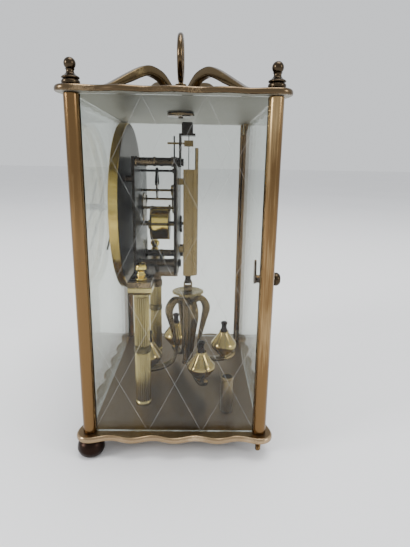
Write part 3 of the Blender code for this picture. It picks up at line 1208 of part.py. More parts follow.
def make_pendulum(bronze, gold):
    place = (0, WIRE_Y, 0)
    base = BASE_TOP
    disc_low = DISC_LEVEL - DISC_THICKNESS / 2
    disc_top = DISC_LEVEL + DISC_THICKNESS / 2
    heights = [(0, HUB_TOP), (HUB_RADIUS, HUB_TOP),
               (HUB_RADIUS, disc_top + SEAT_GAP), (HUB_NECK_RADIUS, disc_top + SEAT_GAP),
               (HUB_NECK_RADIUS, disc_low - SEAT_GAP), (HUB_RADIUS, disc_low - SEAT_GAP),
               (HUB_RADIUS, COLLAR_TOP), (HUB_COLLAR_RADIUS, COLLAR_TOP), (HUB_COLLAR_RADIUS, COLLAR_BOTTOM),
               (TUBE_RADIUS, COLLAR_BOTTOM), (TUBE_RADIUS, TUBE_BOTTOM), (TUBE_TIP_RADIUS, TUBE_BOTTOM),
               (TUBE_TIP_RADIUS, TUBE_TIP), (0, TUBE_TIP)]
    hub = lathe([(radius, base + level) for radius, level in heights], ROUND_SIDES)
    body = piece("pendulum_frame", bronze, hub, place)
    section = [(-0.5, -0.5), (0.5, -0.5), (0.5, 0.5), (-0.5, 0.5)]
    path = [(reach * PENDULUM_REACH, base + level * PENDULUM_KNEE, width * PENDULUM_WIDTH,
             thick * PENDULUM_THICKNESS) for reach, level, width, thick in PENDULUM_SHARES]
    arm = strap(path, section)
    turns = [PENDULUM_TURN + FULL_TURN * number / PENDULUM_ARMS for number in range(PENDULUM_ARMS)]
    for turn in turns:
        add(body, moved(arm, (0, 0, 0), turn))
    add_hook(body)

    ring = HUB_NECK_RADIUS + HOLE_PLAY
    edge = DISC_RADIUS - DISC_CHAMFER
    profile = [(ring, disc_low), (edge, disc_low), (DISC_RADIUS, disc_low + DISC_CHAMFER),
               (DISC_RADIUS, disc_top - DISC_CHAMFER), (edge, disc_top), (ring, disc_top)]
    disc = lathe([(radius, base + level) for radius, level in profile], BROAD_SIDES)
    piece("regulating_disc", bronze, disc, place)

    foot = base + WEIGHT_FOOT
    top = foot + WEIGHT_HEIGHT
    profile = [(0, foot)] + scaled(WEIGHT_SHARES, WEIGHT_RADIUS, foot, WEIGHT_HEIGHT)
    profile += scaled(CAP_SHARES, CAP_RADIUS, top, CAP_HEIGHT)
    weight = lathe(profile, ROUND_SIDES)
    for number, turn in enumerate(turns, 1):
        spot = moved(weight, (*on_circle(WEIGHT_CIRCLE, turn), 0))
        piece(f"pendulum_weight_{number}", gold, spot, place)


for old in list(bpy.data.objects):
    bpy.data.objects.remove(old, do_unlink=True)

gold = finish("polished_gold", (0.83, 0.6, 0.22), 0.18, 1)
brass = finish("lacquered_brass", (0.72, 0.53, 0.2), 0.3, 1)
bronze = finish("dark_bronze", (0.22, 0.14, 0.07), 0.38, 1)
copper = finish("copper_brown", (0.33, 0.19, 0.1), 0.32, 1)
black_metal = finish("blackened_brass", (0.06, 0.05, 0.04), 0.42, 1)
blued = finish("dark_steel", (0.1, 0.1, 0.11), 0.35, 1)
enamel = finish("white_dial", (0.85, 0.83, 0.76), 0.4, 0)
clear = finish("clear_glass", (0.9, 0.95, 0.93), 0.03, 0, 1)

make_case_plates(bronze)
make_feet(bronze, brass)
make_posts(copper)
make_finials(brass)
make_glass(clear)
make_door(clear, brass, black_metal)
make_crown(bronze, brass)
make_key_holder(brass)
make_columns(brass, bronze, gold)
make_movement_frame(black_metal)
make_train(brass, blued)
make_motion_work(brass)
make_anchor(blued)
make_winding(blued, black_metal)
make_dial(brass, enamel, blued)
make_suspension(brass, black_metal, blued)
make_guard(brass)
make_bottom_block(black_metal)
make_pendulum(bronze, gold)

# The knob reaches further back than the feet do in front, so the whole clock moves forward to stay centred
for obj in bpy.data.objects:
    obj.location.y -= (KNOB_REACH - LOBE_RADIUS) / 2
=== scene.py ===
import json
import math

import bmesh
import bpy
from mathutils import Matrix, Vector

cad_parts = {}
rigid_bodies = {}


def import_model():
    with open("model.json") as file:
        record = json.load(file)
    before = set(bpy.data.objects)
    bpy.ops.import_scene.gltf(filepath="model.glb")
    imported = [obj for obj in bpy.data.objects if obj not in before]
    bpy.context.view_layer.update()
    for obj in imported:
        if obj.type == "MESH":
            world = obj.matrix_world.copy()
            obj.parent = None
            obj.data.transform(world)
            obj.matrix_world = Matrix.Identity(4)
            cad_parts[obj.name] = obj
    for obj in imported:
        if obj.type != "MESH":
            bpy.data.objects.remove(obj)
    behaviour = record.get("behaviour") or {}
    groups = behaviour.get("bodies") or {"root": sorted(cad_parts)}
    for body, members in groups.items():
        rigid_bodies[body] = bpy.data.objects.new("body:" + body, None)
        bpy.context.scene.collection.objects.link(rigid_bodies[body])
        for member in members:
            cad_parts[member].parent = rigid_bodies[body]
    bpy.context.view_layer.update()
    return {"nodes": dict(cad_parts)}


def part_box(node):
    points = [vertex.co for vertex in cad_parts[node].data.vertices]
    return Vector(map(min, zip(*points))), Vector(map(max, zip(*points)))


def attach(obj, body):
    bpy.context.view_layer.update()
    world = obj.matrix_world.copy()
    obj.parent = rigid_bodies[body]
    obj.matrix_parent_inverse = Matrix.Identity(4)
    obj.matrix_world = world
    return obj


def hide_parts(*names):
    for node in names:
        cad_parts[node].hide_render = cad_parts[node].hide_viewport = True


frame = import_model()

nodes = frame["nodes"]


# The camera stands where the photographer held it: close to the key-holder side of the case,
# a little above its middle, looking slightly down.
camera_place = Vector((0.294089, 0.011897, 0.167995))
yaw, dip, roll = 0.0160, 0.2476, 0.0166
ahead = Vector((-math.cos(yaw) * math.cos(dip), math.sin(yaw) * math.cos(dip), -math.sin(dip)))
level_right = ahead.cross(Vector((0, 0, 1))).normalized()
level_up = level_right.cross(ahead)
camera_right = math.cos(roll) * level_right + math.sin(roll) * level_up
camera_up = math.cos(roll) * level_up - math.sin(roll) * level_right
camera_data = bpy.data.cameras.new("camera")
camera_data.lens = 27.78
camera_data.clip_start = 0.01
camera = bpy.data.objects.new("camera", camera_data)
bpy.context.scene.collection.objects.link(camera)
camera.matrix_world = Matrix.Translation(camera_place) @ Matrix(
    (camera_right, camera_up, -ahead)).transposed().to_4x4()
bpy.context.scene.camera = camera


# The clock stands on a broad pale floor in a pale room, with a soft light overhead, one at the dial
# side and a weak one at the door side.
class Wire:
    """A socket of a finish's node tree that takes part in arithmetic."""

    def __init__(self, finish, socket):
        self.finish = finish
        self.socket = socket

    def count(self, operation, *values):
        return self.finish.node("ShaderNodeMath", {"operation": operation}, dict(enumerate(values)))

    def __add__(self, other):
        return self.count("ADD", self, other)

    def __sub__(self, other):
        return self.count("SUBTRACT", self, other)

    def __rsub__(self, other):
        return self.count("SUBTRACT", other, self)

    def __mul__(self, other):
        return self.count("MULTIPLY", self, other)


class Finish:
    """A material under construction: one principled shader and the nodes that feed it."""

    def __init__(self, name):
        self.material = bpy.data.materials.new(name)
        self.material.use_nodes = True
        self.tree = self.material.node_tree
        self.shader = self.tree.nodes["Principled BSDF"]
        self.place = self.node("ShaderNodeTexCoord", out="Object")

    def node(self, kind, settings={}, values={}, out=0):
        made = self.tree.nodes.new(kind)
        for setting, value in settings.items():
            setattr(made, setting, value)
        for key, value in values.items():
            self.feed(made.inputs[key], value)
        return Wire(self, made.outputs[out])

    def feed(self, socket, value):
        if isinstance(value, Wire):
            self.tree.links.new(value.socket, socket)
        elif isinstance(value, tuple) and len(value) == 3 and socket.type == "RGBA":
            socket.default_value = (*value, 1)
        else:
            socket.default_value = value

    def set(self, **sockets):
        for name, value in sockets.items():
            self.feed(self.shader.inputs[name.replace("_", " ").title().replace("Ior", "IOR")], value)
        return self.material

    def noise(self, scale, detail=4, stretch=(1, 1, 1)):
        spread = self.node("ShaderNodeMapping", values={"Vector": self.place, "Scale": stretch})
        return self.node("ShaderNodeTexNoise", values={"Vector": spread, "Scale": scale, "Detail": detail})

    def ramp(self, value, low, high):
        return self.node("ShaderNodeMapRange", {"clamp": True},
                         {"Value": value, "From Min": low, "From Max": high})

    def mix(self, factor, first, second):
        made = self.tree.nodes.new("ShaderNodeMix")
        made.data_type = "RGBA"
        for key, value in ((0, factor), (6, first), (7, second)):
            self.feed(made.inputs[key], value)
        return Wire(self, made.outputs[2])

    def bump(self, height, strength, distance):
        return self.node("ShaderNodeBump",
                         values={"Height": height, "Strength": strength, "Distance": distance})


card = Finish("studio_card")
card_shade = card.mix(card.ramp(card.noise(1.5), 0.3, 0.7), (0.86, 0.86, 0.87), (0.90, 0.90, 0.905))
card.set(base_color=card_shade, roughness=0.9)
card_mesh = bpy.data.meshes.new("studio_floor")
reach = 40
card_mesh.from_pydata([(-reach, -reach, 0), (reach, -reach, 0), (reach, reach, 0), (-reach, reach, 0)], [],
                      [(0, 1, 2, 3)])
card_mesh.materials.append(card.material)
studio_floor = bpy.data.objects.new("studio_floor", card_mesh)
bpy.context.scene.collection.objects.link(studio_floor)

studio_air = bpy.data.worlds.new("studio_air")
studio_air.use_nodes = True
studio_air.node_tree.nodes["Background"].inputs["Color"].default_value = (0.90, 0.92, 0.95, 1)
bpy.context.scene.world = studio_air

light_aim = Vector((0, 0, 0.12))
for light_name, light_place, light_size, light_power in (
        ("overhead_light", (0.1, 0.2, 1.6), 0.9, 20), ("dial_side_light", (0.7, -1.5, 0.7), 0.5, 20),
        ("door_side_light", (0.8, 1.5, 0.7), 0.5, 8)):
    light_data = bpy.data.lights.new(light_name, "AREA")
    light_data.size = light_size
    light_data.energy = light_power
    light = bpy.data.objects.new(light_name, light_data)
    bpy.context.scene.collection.objects.link(light)
    light.location = light_place
    light.rotation_euler = (light_aim - Vector(light_place)).to_track_quat("-Z", "Y").to_euler()


# The base and top are stamped brass plates with a scalloped edge that runs between round corner
# lobes. They are bronzed dark. The base's edges are brighter: partly lacquer worn back to bright
# metal, partly a painted reflection of the pale floor.
def bronzed(name, dark, bright, wear, shine, grain=(1, 1, 1), bump=0.15):
    """Metal under old lacquer: dark and bright patches, fine brushing along one axis, and small pits."""
    metal = Finish(name)
    clouds = metal.noise(45, 5, tuple(max(part, 0.25) for part in grain))
    brushing = metal.noise(1400, 3, grain)
    pits = metal.noise(1500, 2)
    worn = metal.ramp(clouds * 0.8 + brushing * 0.25, 0.62 - wear, 0.86 - wear)
    spots = metal.ramp(pits, 0.68, 0.76)
    colour = metal.mix(worn, dark, bright)
    colour = metal.mix(spots * 0.4, colour, tuple(0.35 * part for part in dark))
    dullness = metal.ramp(clouds, 0.3, 0.75) * 0.1 + brushing * 0.06 + (shine - 0.06)
    return metal.set(base_color=colour, metallic=1.0, roughness=dullness + spots * 0.12,
                     normal=metal.bump(brushing + spots * -0.6, bump, 0.00004))


def loft(rings):
    """Skins closed rings of points one after another and closes both ends."""
    count = len(rings[0])
    points = [point for ring in rings for point in ring]
    faces = [tuple(reversed(range(count))), tuple(range(len(points) - count, len(points)))]
    for start in range(0, len(points) - count, count):
        faces += [(start + side, start + (side + 1) % count, start + count + (side + 1) % count,
                   start + count + side) for side in range(count)]
    return points, faces


def make_piece(name, shape, material, body, replaced=(), sharp=32):
    """Turns points and faces into one of the clock's pieces, riding on its body."""
    mesh = bpy.data.meshes.new(name)
    mesh.from_pydata([tuple(point) for point in shape[0]], [], shape[1])
    work = bmesh.new()
    work.from_mesh(mesh)
    bmesh.ops.remove_doubles(work, verts=work.verts, dist=0.000001)
    bmesh.ops.recalc_face_normals(work, faces=work.faces)
    work.to_mesh(mesh)
    work.free()
    mesh.shade_smooth()
    mesh.set_sharp_from_angle(angle=math.radians(sharp))
    piece = bpy.data.objects.new(name, mesh)
    mesh.materials.append(material)
    bpy.context.scene.collection.objects.link(piece)
    return settle(piece, body, replaced)


def settle(piece, body, replaced=()):
    if replaced:
        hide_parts(*replaced)
    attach(piece, body)
    return piece


MIDDLE_Y = -0.001
POST_X, POST_Y = 0.073, 0.050
CORNERS = {"front_right": (POST_X, MIDDLE_Y - POST_Y), "front_left": (-POST_X, MIDDLE_Y - POST_Y),
           "back_left": (-POST_X, MIDDLE_Y + POST_Y), "back_right": (POST_X, MIDDLE_Y + POST_Y)}


def scalloped(inset):
    """The plate's outline, drawn in by inset: corner lobes joined by waves."""
    outline = []
    lobe, middle_out, wave = 0.008, 0.0067, 0.0013
    lobe_steps, wave_steps = 24, 14
    turn = 0
    for name, length, scallops in (("back_right", 2 * POST_X, 6), ("back_left", 2 * POST_Y, 4),
                                   ("front_left", 2 * POST_X, 6), ("front_right", 2 * POST_Y, 4)):
        x, y = CORNERS[name]
        for step in range(lobe_steps + 1):
            angle = turn + math.pi / 2 * step / lobe_steps
            outline.append((x + (lobe - inset) * math.cos(angle), y + (lobe - inset) * math.sin(angle)))
        turn += math.pi / 2
        count = scallops * wave_steps
        for step in range(1, count):
            out = middle_out - inset + wave * math.cos(math.tau * scallops * step / count)
            along = length * step / count
            outline.append((x + out * math.cos(turn) - along * math.sin(turn),
                            y + out * math.sin(turn) + along * math.cos(turn)))
    return outline


def stamped_plate(low, high):
    edge = ((0.0006, 0), (0.0001, 0.12), (0, 0.3), (0, 0.55), (0.0002, 0.75), (0.0005, 0.9), (0.0010, 1))
    return loft([[(x, y, low + rise * (high - low)) for x, y in scalloped(inset)] for inset, rise in edge])


def drilled(piece, x, y, radius, sides=24, overrun=0.001):
    """Cuts a round upright hole through a piece."""
    levels = (piece.bound_box[0][2] - overrun, piece.bound_box[6][2] + overrun)
    ring = [(x + radius * math.cos(math.tau * side / sides), y + radius * math.sin(math.tau * side / sides))
            for side in range(sides)]
    points, faces = loft([[(px, py, z) for px, py in ring] for z in levels])
    bore = bpy.data.objects.new("bore", bpy.data.meshes.new("bore"))
    bore.data.from_pydata(points, [], faces)
    bpy.context.scene.collection.objects.link(bore)
    change = piece.modifiers.new("bore", "BOOLEAN")
    change.operation, change.solver, change.object = "DIFFERENCE", "EXACT", bore
    bpy.context.view_layer.update()
    plain = bpy.data.meshes.new_from_object(piece.evaluated_get(bpy.context.evaluated_depsgraph_get()))
    piece.modifiers.clear()
    piece.data = plain
    bpy.data.objects.remove(bore)


HINGE_HOLE = (-0.065, 0.049, 0.0013)
FLAT = 0.9
base_low, base_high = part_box("base_plate")[0].z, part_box("base_plate")[1].z
top_low, top_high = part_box("top_plate")[0].z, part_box("top_plate")[1].z
bronze = bronzed("old_bronze", (0.11, 0.076, 0.042), (0.60, 0.43, 0.25), 0.06, 0.24, bump=0.02)
floor_bronze = bronzed("base_floor", (0.15, 0.10, 0.05), (0.24, 0.175, 0.10), 0.05, 0.32, (0.05, 1, 1), 0.05)
base = make_piece("stamped_base", stamped_plate(base_low, base_high), floor_bronze, "clock",
                  ["base_plate"])
drilled(base, *HINGE_HOLE)
base.data.materials.clear()
base.data.materials.append(floor_bronze)
base.data.materials.append(bronze)
# The base's edge faces get a brighter bronze than its flat faces: partly worn metal, partly a painted
# reflection of the pale floor.
rim_wear_and_painted_reflection = bronzed("rim_wear_and_painted_reflection", (0.30, 0.21, 0.12), (0.74, 0.55, 0.34), 0.08, 0.22, bump=0.02)
base.data.materials.append(rim_wear_and_painted_reflection)
for face in base.data.polygons:
    flat = abs(face.normal.z) > FLAT
    face.material_index = (0 if face.normal.z > 0 else 1) if flat else 2
top = make_piece("stamped_top", stamped_plate(top_low, top_high), bronze, "clock",
                 ["top_plate"])
drilled(top, *HINGE_HOLE)
under_bronze = bronzed("top_underside", (0.27, 0.26, 0.22), (0.36, 0.35, 0.30), 0.05, 0.5, (0.05, 1, 1), 0.02)
top.data.materials.append(under_bronze)
for face in top.data.polygons:
    if face.normal.z < -FLAT:
        face.material_index = 1


# Three flattened ball feet, turned from brass and gone brown, are screwed to studs under the corners.
# The fourth foot is lost: its bare threaded stud shows, with the nut that holds the base plate.
def turned(profile, place=(0, 0, 0), sides=48):
    """A shape turned on an upright axis from (radius, height) pairs.

    A tube's profile comes back to its start."""
    points, faces, rings = [], [], []
    for radius, level in profile:
        start = len(points)
        if radius == 0:
            points.append((place[0], place[1], place[2] + level))
            rings.append([start] * sides)
        else:
            points += [(place[0] + radius * math.cos(math.tau * side / sides),
                        place[1] + radius * math.sin(math.tau * side / sides), place[2] + level)
                       for side in range(sides)]
            rings.append(list(range(start, start + sides)))
    for lower, upper in zip(rings, rings[1:]):
        for side in range(sides):
            after = (side + 1) % sides
            face = tuple(dict.fromkeys((lower[side], lower[after], upper[after], upper[side])))
            if len(face) > 2:
                faces.append(face)
    return points, faces


def eased(points, steps=5):
    """A smooth line through the points, of pairs or longer."""
    line = []
    for index in range(len(points) - 1):
        before, start, end, after = (points[max(index - 1, 0)], points[index], points[index + 1],
                                     points[min(index + 2, len(points) - 1)])
        for step in range(steps):
            t = step / steps
            line.append(tuple(0.5 * (2 * b + (c - a) * t + (2 * a - 5 * b + 4 * c - d) * t ** 2
                                     + (3 * b - a - 3 * c + d) * t ** 3)
                              for a, b, c, d in zip(before, start, end, after)))
    return line + [tuple(points[-1])]


brown_brass = bronzed("foot_brown", (0.022, 0.013, 0.010), (0.10, 0.062, 0.045), -0.04, 0.34)
foot_profile = [(0, 0), (0.0042, 0)] + eased(
    [(0.0045, 0.0001), (0.0066, 0.0013), (0.0078, 0.0038), (0.0079, 0.0058), (0.0072, 0.0085),
     (0.0058, 0.0103)])
foot_profile += [(0.0052, 0.0105), (0.0052, 0.0113), (0, 0.0113)]
for corner in ("front_right", "front_left", "back_left"):
    make_piece(f"ball_foot_{corner}", turned(foot_profile, (*CORNERS[corner], 0)), brown_brass, "clock",
               [f"foot_{corner}"])

stud_brass = bronzed("bare_brass", (0.26, 0.19, 0.09), (0.62, 0.49, 0.26), 0.1, 0.28)
nut_profile = [(0.0017, 0.0090), (0.0022, 0.0090), (0.0034, 0.0104), (0.00355, 0.0107), (0.00355, 0.0112),
               (0.0034, 0.0113), (0.0017, 0.0113), (0.0017, 0.0090)]
make_piece("corner_stud_nut", turned(nut_profile, (*CORNERS["back_right"], 0)), stud_brass, "clock",
           ["corner_nut"])


# The corner posts are brown lacquered brass rods, slotted along their length for the panes.
# Each is held between the plates by a stud below and a finial screwed in from above.
def post_outline(slots, radius=0.004, width=0.0022, depth=0.0016):
    """The rod's section, slotted at the given directions."""
    outline = []
    lip = math.asin(width / 2 / radius)
    for index, direction in enumerate(slots):
        cos, sin = math.cos(direction), math.sin(direction)
        edge = radius * math.cos(lip)
        for x, y in ((edge, -width / 2), (radius - depth, -width / 2), (radius - depth, width / 2),
                     (edge, width / 2)):
            outline.append((x * cos - y * sin, x * sin + y * cos))
        sweep = (slots[(index + 1) % len(slots)] - direction) % math.tau or math.tau
        sweep -= 2 * lip
        steps = round(56 * sweep / math.tau)
        outline += [(radius * math.cos(direction + lip + sweep * step / steps),
                     radius * math.sin(direction + lip + sweep * step / steps)) for step in range(1, steps)]
    return outline


SEAT_GAP, POST_CHAMFER = 0.0003, 0.0003
case_floor, case_ceiling = base_high + SEAT_GAP, top_low - SEAT_GAP
post_brass = bronzed("post_lacquer", (0.16, 0.094, 0.040), (0.62, 0.44, 0.22), 0.06, 0.16, (1, 1, 0.02), 0.1)
quarter = math.pi / 2
post_slots = {"front_right": (quarter, 2 * quarter), "front_left": (0, quarter), "back_left": (-quarter,),
              "back_right": (-quarter,)}
crest_radius, root_radius, pitch, thread_turns = 0.0016, 0.00138, 0.0005, 17
stud_foot, thread_start, thread_end, stud_head = 0.0028, 0.0031, 0.0118, case_floor + 0.0005
thread = [(0, stud_foot), (0.0012, stud_foot), (0.0015, thread_start)]
for step in range(thread_turns):
    thread += [(crest_radius, thread_start + (step + 0.4) * pitch),
               (root_radius, thread_start + (step + 0.9) * pitch)]
thread += [(crest_radius, thread_end), (crest_radius, stud_head), (0, stud_head)]
for corner, (x, y) in CORNERS.items():
    outline = post_outline(post_slots[corner])
    ends = ((0.94, case_floor), (1, case_floor + POST_CHAMFER), (1, case_ceiling - POST_CHAMFER),
            (0.94, case_ceiling))
    points, faces = loft([[(x + scale * px, y + scale * py, z) for px, py in outline] for scale, z in ends])
    stud_points, stud_faces = turned(thread, (x, y, 0), 24)
    faces += [tuple(len(points) + corner_index for corner_index in face) for face in stud_faces]
    make_piece(f"case_post_{corner}", (points + stud_points, faces), post_brass, "clock",
               [f"post_{corner}"])

finial_brass = bronzed("finial_bronze", (0.05, 0.036, 0.022), (0.26, 0.19, 0.11), -0.01, 0.24)
crown_floor = top_high + SEAT_GAP
finial_profile = [(0, -0.009), (0.0016, -0.009), (0.0016, 0), (0.0036, 0), (0.0042, 0.0003)]
finial_profile += eased([(0.00445, 0.0008), (0.00445, 0.0017), (0.0041, 0.0022), (0.0034, 0.0024)], 3)
finial_profile += eased([(0.0035, 0.0026), (0.0043, 0.0030), (0.0043, 0.0036), (0.0034, 0.0042)], 3)
finial_profile += eased([(0.0030, 0.0044), (0.0021, 0.0054), (0.0019, 0.0064), (0.0021, 0.0070),
                         (0.0024, 0.0072)], 3)
ball_radius, ball_level = 0.0029, 0.0096
finial_profile += [(ball_radius * math.cos(math.radians(turn)),
                    ball_level + ball_radius * math.sin(math.radians(turn))) for turn in range(-48, 90, 12)]
finial_profile.append((0, 0.0125))
for corner, (x, y) in CORNERS.items():
    make_piece(f"turned_finial_{corner}", turned(finial_profile, (x, y, crown_floor), 40), finial_brass,
               "clock", [f"finial_{corner}"])


# The glass is plain plate with bevelled margins, in the front and in the door. The two side panes
# carry a fine engraved lattice of long diamonds, with a frosted cut that catches the light.
def pane_glass(name, engraved=0):
    """Clear glass that mirrors more at a slant, with faint smears and, where engraved, cut lines."""
    glass = Finish(name)
    smears = glass.noise(60, 4, (1, 0.3, 1))
    mirrored = glass.node("ShaderNodeFresnel", values={"IOR": 1.5})
    lines = glass.ramp(glass.noise(900, 1), 0.78, 0.8) * 0.25
    if engraved:
        spread = glass.node("ShaderNodeSeparateXYZ", values={"Vector": glass.place}, out="Y")
        rise, depth = (Wire(glass, spread.socket.node.outputs[axis]) for axis in "ZX")
        across = (spread - LATTICE_MIDDLE) * (1 / LATTICE_WIDTH)
        up = (rise - LATTICE_LEVEL) * (1 / LATTICE_HEIGHT)
        outer = glass.node("ShaderNodeMath", {"operation": "ABSOLUTE"}, {0: depth})
        outer = glass.node("ShaderNodeMath", {"operation": "GREATER_THAN"}, {0: outer, 1: PANE_MIDDLE})
        for slant in (up + across, up - across):
            shift = glass.node("ShaderNodeMath", {"operation": "PINGPONG"}, {0: slant + 100.0, 1: 0.5})
            cut = glass.ramp(shift, engraved, 0.0) * outer
            lines = glass.node("ShaderNodeMath", {"operation": "MAXIMUM"}, {0: lines, 1: cut})
    flaws = glass.ramp(glass.noise(160, 3), 0.35, 0.7)
    veil = lines * (flaws * 0.4 + 0.55)
    glass.set(base_color=glass.mix(lines, (0.97, 0.99, 0.98), (0.42, 0.42, 0.38)), metallic=1 - lines,
              roughness=smears * 0.03 + lines * 0.5)
    clear = glass.tree.nodes.new("ShaderNodeBsdfTransparent")
    clear.inputs["Color"].default_value = (0.925, 0.935, 0.92, 1)
    pane = glass.tree.nodes.new("ShaderNodeMixShader")
    glass.feed(pane.inputs["Fac"], glass.node("ShaderNodeMath", {"operation": "MAXIMUM"},
                                              {0: mirrored * 0.6 - 0.016 + smears * 0.01, 1: veil}))
    glass.tree.links.new(clear.outputs[0], pane.inputs[1])
    glass.tree.links.new(glass.shader.outputs[0], pane.inputs[2])
    glass.tree.links.new(pane.outputs[0], glass.tree.nodes["Material Output"].inputs["Surface"])
    return glass.material


def coat(name, material):
    """Gives a finish to a piece that stays as it was cut."""
    nodes[name].data.materials.clear()
    nodes[name].data.materials.append(material)


LATTICE_MIDDLE, LATTICE_LEVEL, LATTICE_WIDTH, LATTICE_HEIGHT = -0.001, 0.1087, 0.0315, 0.0620
PANE_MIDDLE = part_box("glass_right")[0].x / 2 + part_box("glass_right")[1].x / 2
plain_glass = pane_glass("plain_pane")
LINE_WIDTH = 0.0028
near_glass = pane_glass("engraved_pane", LINE_WIDTH)
for name, material in (("glass_front", plain_glass), ("door_glass", plain_glass), ("glass_right", near_glass),
                       ("glass_left", near_glass)):
    coat(name, material)


# The crown is a cast ornament: four flat scrolled arms rise from near the corners, roll over and run
# down into a domed boss in the middle of the top. A plain ring handle is screwed through the boss,
# and its broad round nut shows under the top plate.
def swept(path, section):
    """Sweeps a section of (across, up) shares along a path of (reach, height, width, thickness)."""
    rings = []
    for index, (reach, level, width, thick) in enumerate(path):
        before, after = path[max(index - 1, 0)], path[min(index + 1, len(path) - 1)]
        run, rise = after[0] - before[0], after[1] - before[1]
        length = math.hypot(run, rise)
        run, rise = run / length, rise / length
        rings.append([(reach - rise * up * thick, across * width, level + run * up * thick)
                      for across, up in section])
    return loft(rings)


def spun(shape, turn, place=(0, 0, 0)):
    """A copy of a shape turned about the upright axis and set down at a place."""
    cos, sin = math.cos(turn), math.sin(turn)
    return [(x * cos - y * sin + place[0], x * sin + y * cos + place[1], z + place[2])
            for x, y, z in shape[0]], shape[1]


def merged(shapes):
    points, faces = [], []
    for shape in shapes:
        faces += [tuple(len(points) + corner for corner in face) for face in shape[1]]
        points += shape[0]
    return points, faces


def rounded_section(corner_share, steps=3):
    """A unit rectangle with rounded corners."""
    middle = 0.5 - corner_share
    return [(sx * middle + corner_share * math.cos(turn + quarter * step / steps),
             sy * middle + corner_share * math.sin(turn + quarter * step / steps))
            for sx, sy, turn in ((1, 1, 0), (-1, 1, quarter), (-1, -1, 2 * quarter), (1, -1, 3 * quarter))
            for step in range(steps + 1)]


crown_bronze = bronzed("crown_bronze", (0.11, 0.077, 0.037), (0.52, 0.385, 0.18), 0.0, 0.2)
arm_path = [(0.005, 0.0050, 0.0052), (0.009, 0.0060, 0.0055), (0.0137, 0.0101, 0.0057),
            (0.020, 0.0146, 0.0057),
            (0.027, 0.0163, 0.0057), (0.033, 0.0163, 0.0055), (0.040, 0.0139, 0.0053),
            (0.048, 0.0102, 0.0049), (0.056, 0.0066, 0.0039), (0.064, 0.0033, 0.0026),
            (0.0718, 0.0012, 0.0018)]
ARM_WIDTH = 0.0047
arm = swept([(reach, crown_floor + rise, ARM_WIDTH, thick) for reach, rise, thick in eased(arm_path, 6)],
            rounded_section(0.2))
boss_profile = [(0.0019, 0), (0.0073, 0), (0.0075, 0.0003), (0.0075, 0.0040)] + eased(
    [(0.0073, 0.0046), (0.0069, 0.0072), (0.0057, 0.0101), (0.0039, 0.0123), (0.0034, 0.0132)])
boss_profile += [(0.0036, 0.0135), (0.0036, 0.0139), (0.0019, 0.0140), (0.0019, 0)]
make_piece("crown_scrolls", merged([spun(arm, math.atan2(y - MIDDLE_Y, x), (0, MIDDLE_Y, 0))
                                    for x, y in CORNERS.values()]
                                   + [turned(boss_profile, (0, MIDDLE_Y, crown_floor))]),
           crown_bronze, "clock", ["crown"], 40)

ring_z, ring_radius, bar = 0.23445, 0.0128, 0.0019
ring_steps, bar_sides = 72, 20
ring_points, ring_faces = [], []
for step in range(ring_steps):
    cos, sin = math.cos(math.tau * step / ring_steps), math.sin(math.tau * step / ring_steps)
    for side in range(bar_sides):
        out = bar * math.cos(math.tau * side / bar_sides)
        deep = bar * math.sin(math.tau * side / bar_sides)
        ring_points.append(((ring_radius + out) * cos, MIDDLE_Y + deep, ring_z + (ring_radius + out) * sin))
        after = (side + 1) % bar_sides
        near, far = step * bar_sides, (step + 1) % ring_steps * bar_sides
        ring_faces.append((near + side, near + after, far + after, far + side))
under = case_ceiling
stem = [(0, under - 0.0034), (0.0014, under - 0.0034), (0.0016, under - 0.0031), (0.0016, under - 0.0024),
        (0.0079, under - 0.0022), (0.0088, under - 0.0018), (0.009, under - 0.0013), (0.009, under - 0.0005),
        (0.0086, under), (0.0016, under), (0.0016, ring_z - ring_radius), (0, ring_z - ring_radius)]
handle_brass = bronzed("handle_brass", (0.09, 0.062, 0.034), (0.42, 0.30, 0.14), 0.04, 0.17)
make_piece("ring_pull", merged([(ring_points, ring_faces), turned(stem, (0, MIDDLE_Y, 0))]), handle_brass,
           "clock", ["ring_handle"])


# A short brass tube stands on the base beside the door and holds the winding key. It is turned with
# a rolled rim, and its bore is dark inside.
gilt_tube = bronzed("tube_brass", (0.24, 0.175, 0.085), (0.50, 0.39, 0.20), 0.08, 0.36, (1, 1, 0.05))
tube_profile = [(0, 0), (0.0038, 0), (0.0039, 0.0002), (0.0039, 0.0218), (0.0036, 0.0221), (0.0036, 0.0224),
                (0.0042, 0.0227), (0.0042, 0.0237), (0.0040, 0.0240), (0.0034, 0.0240), (0.0032, 0.0238),
                (0.0032, 0.0015), (0, 0.0015)]
make_piece("key_tube", turned(tube_profile, (0.050, 0.031, case_floor)), gilt_tube, "clock",
           ["key_holder"])


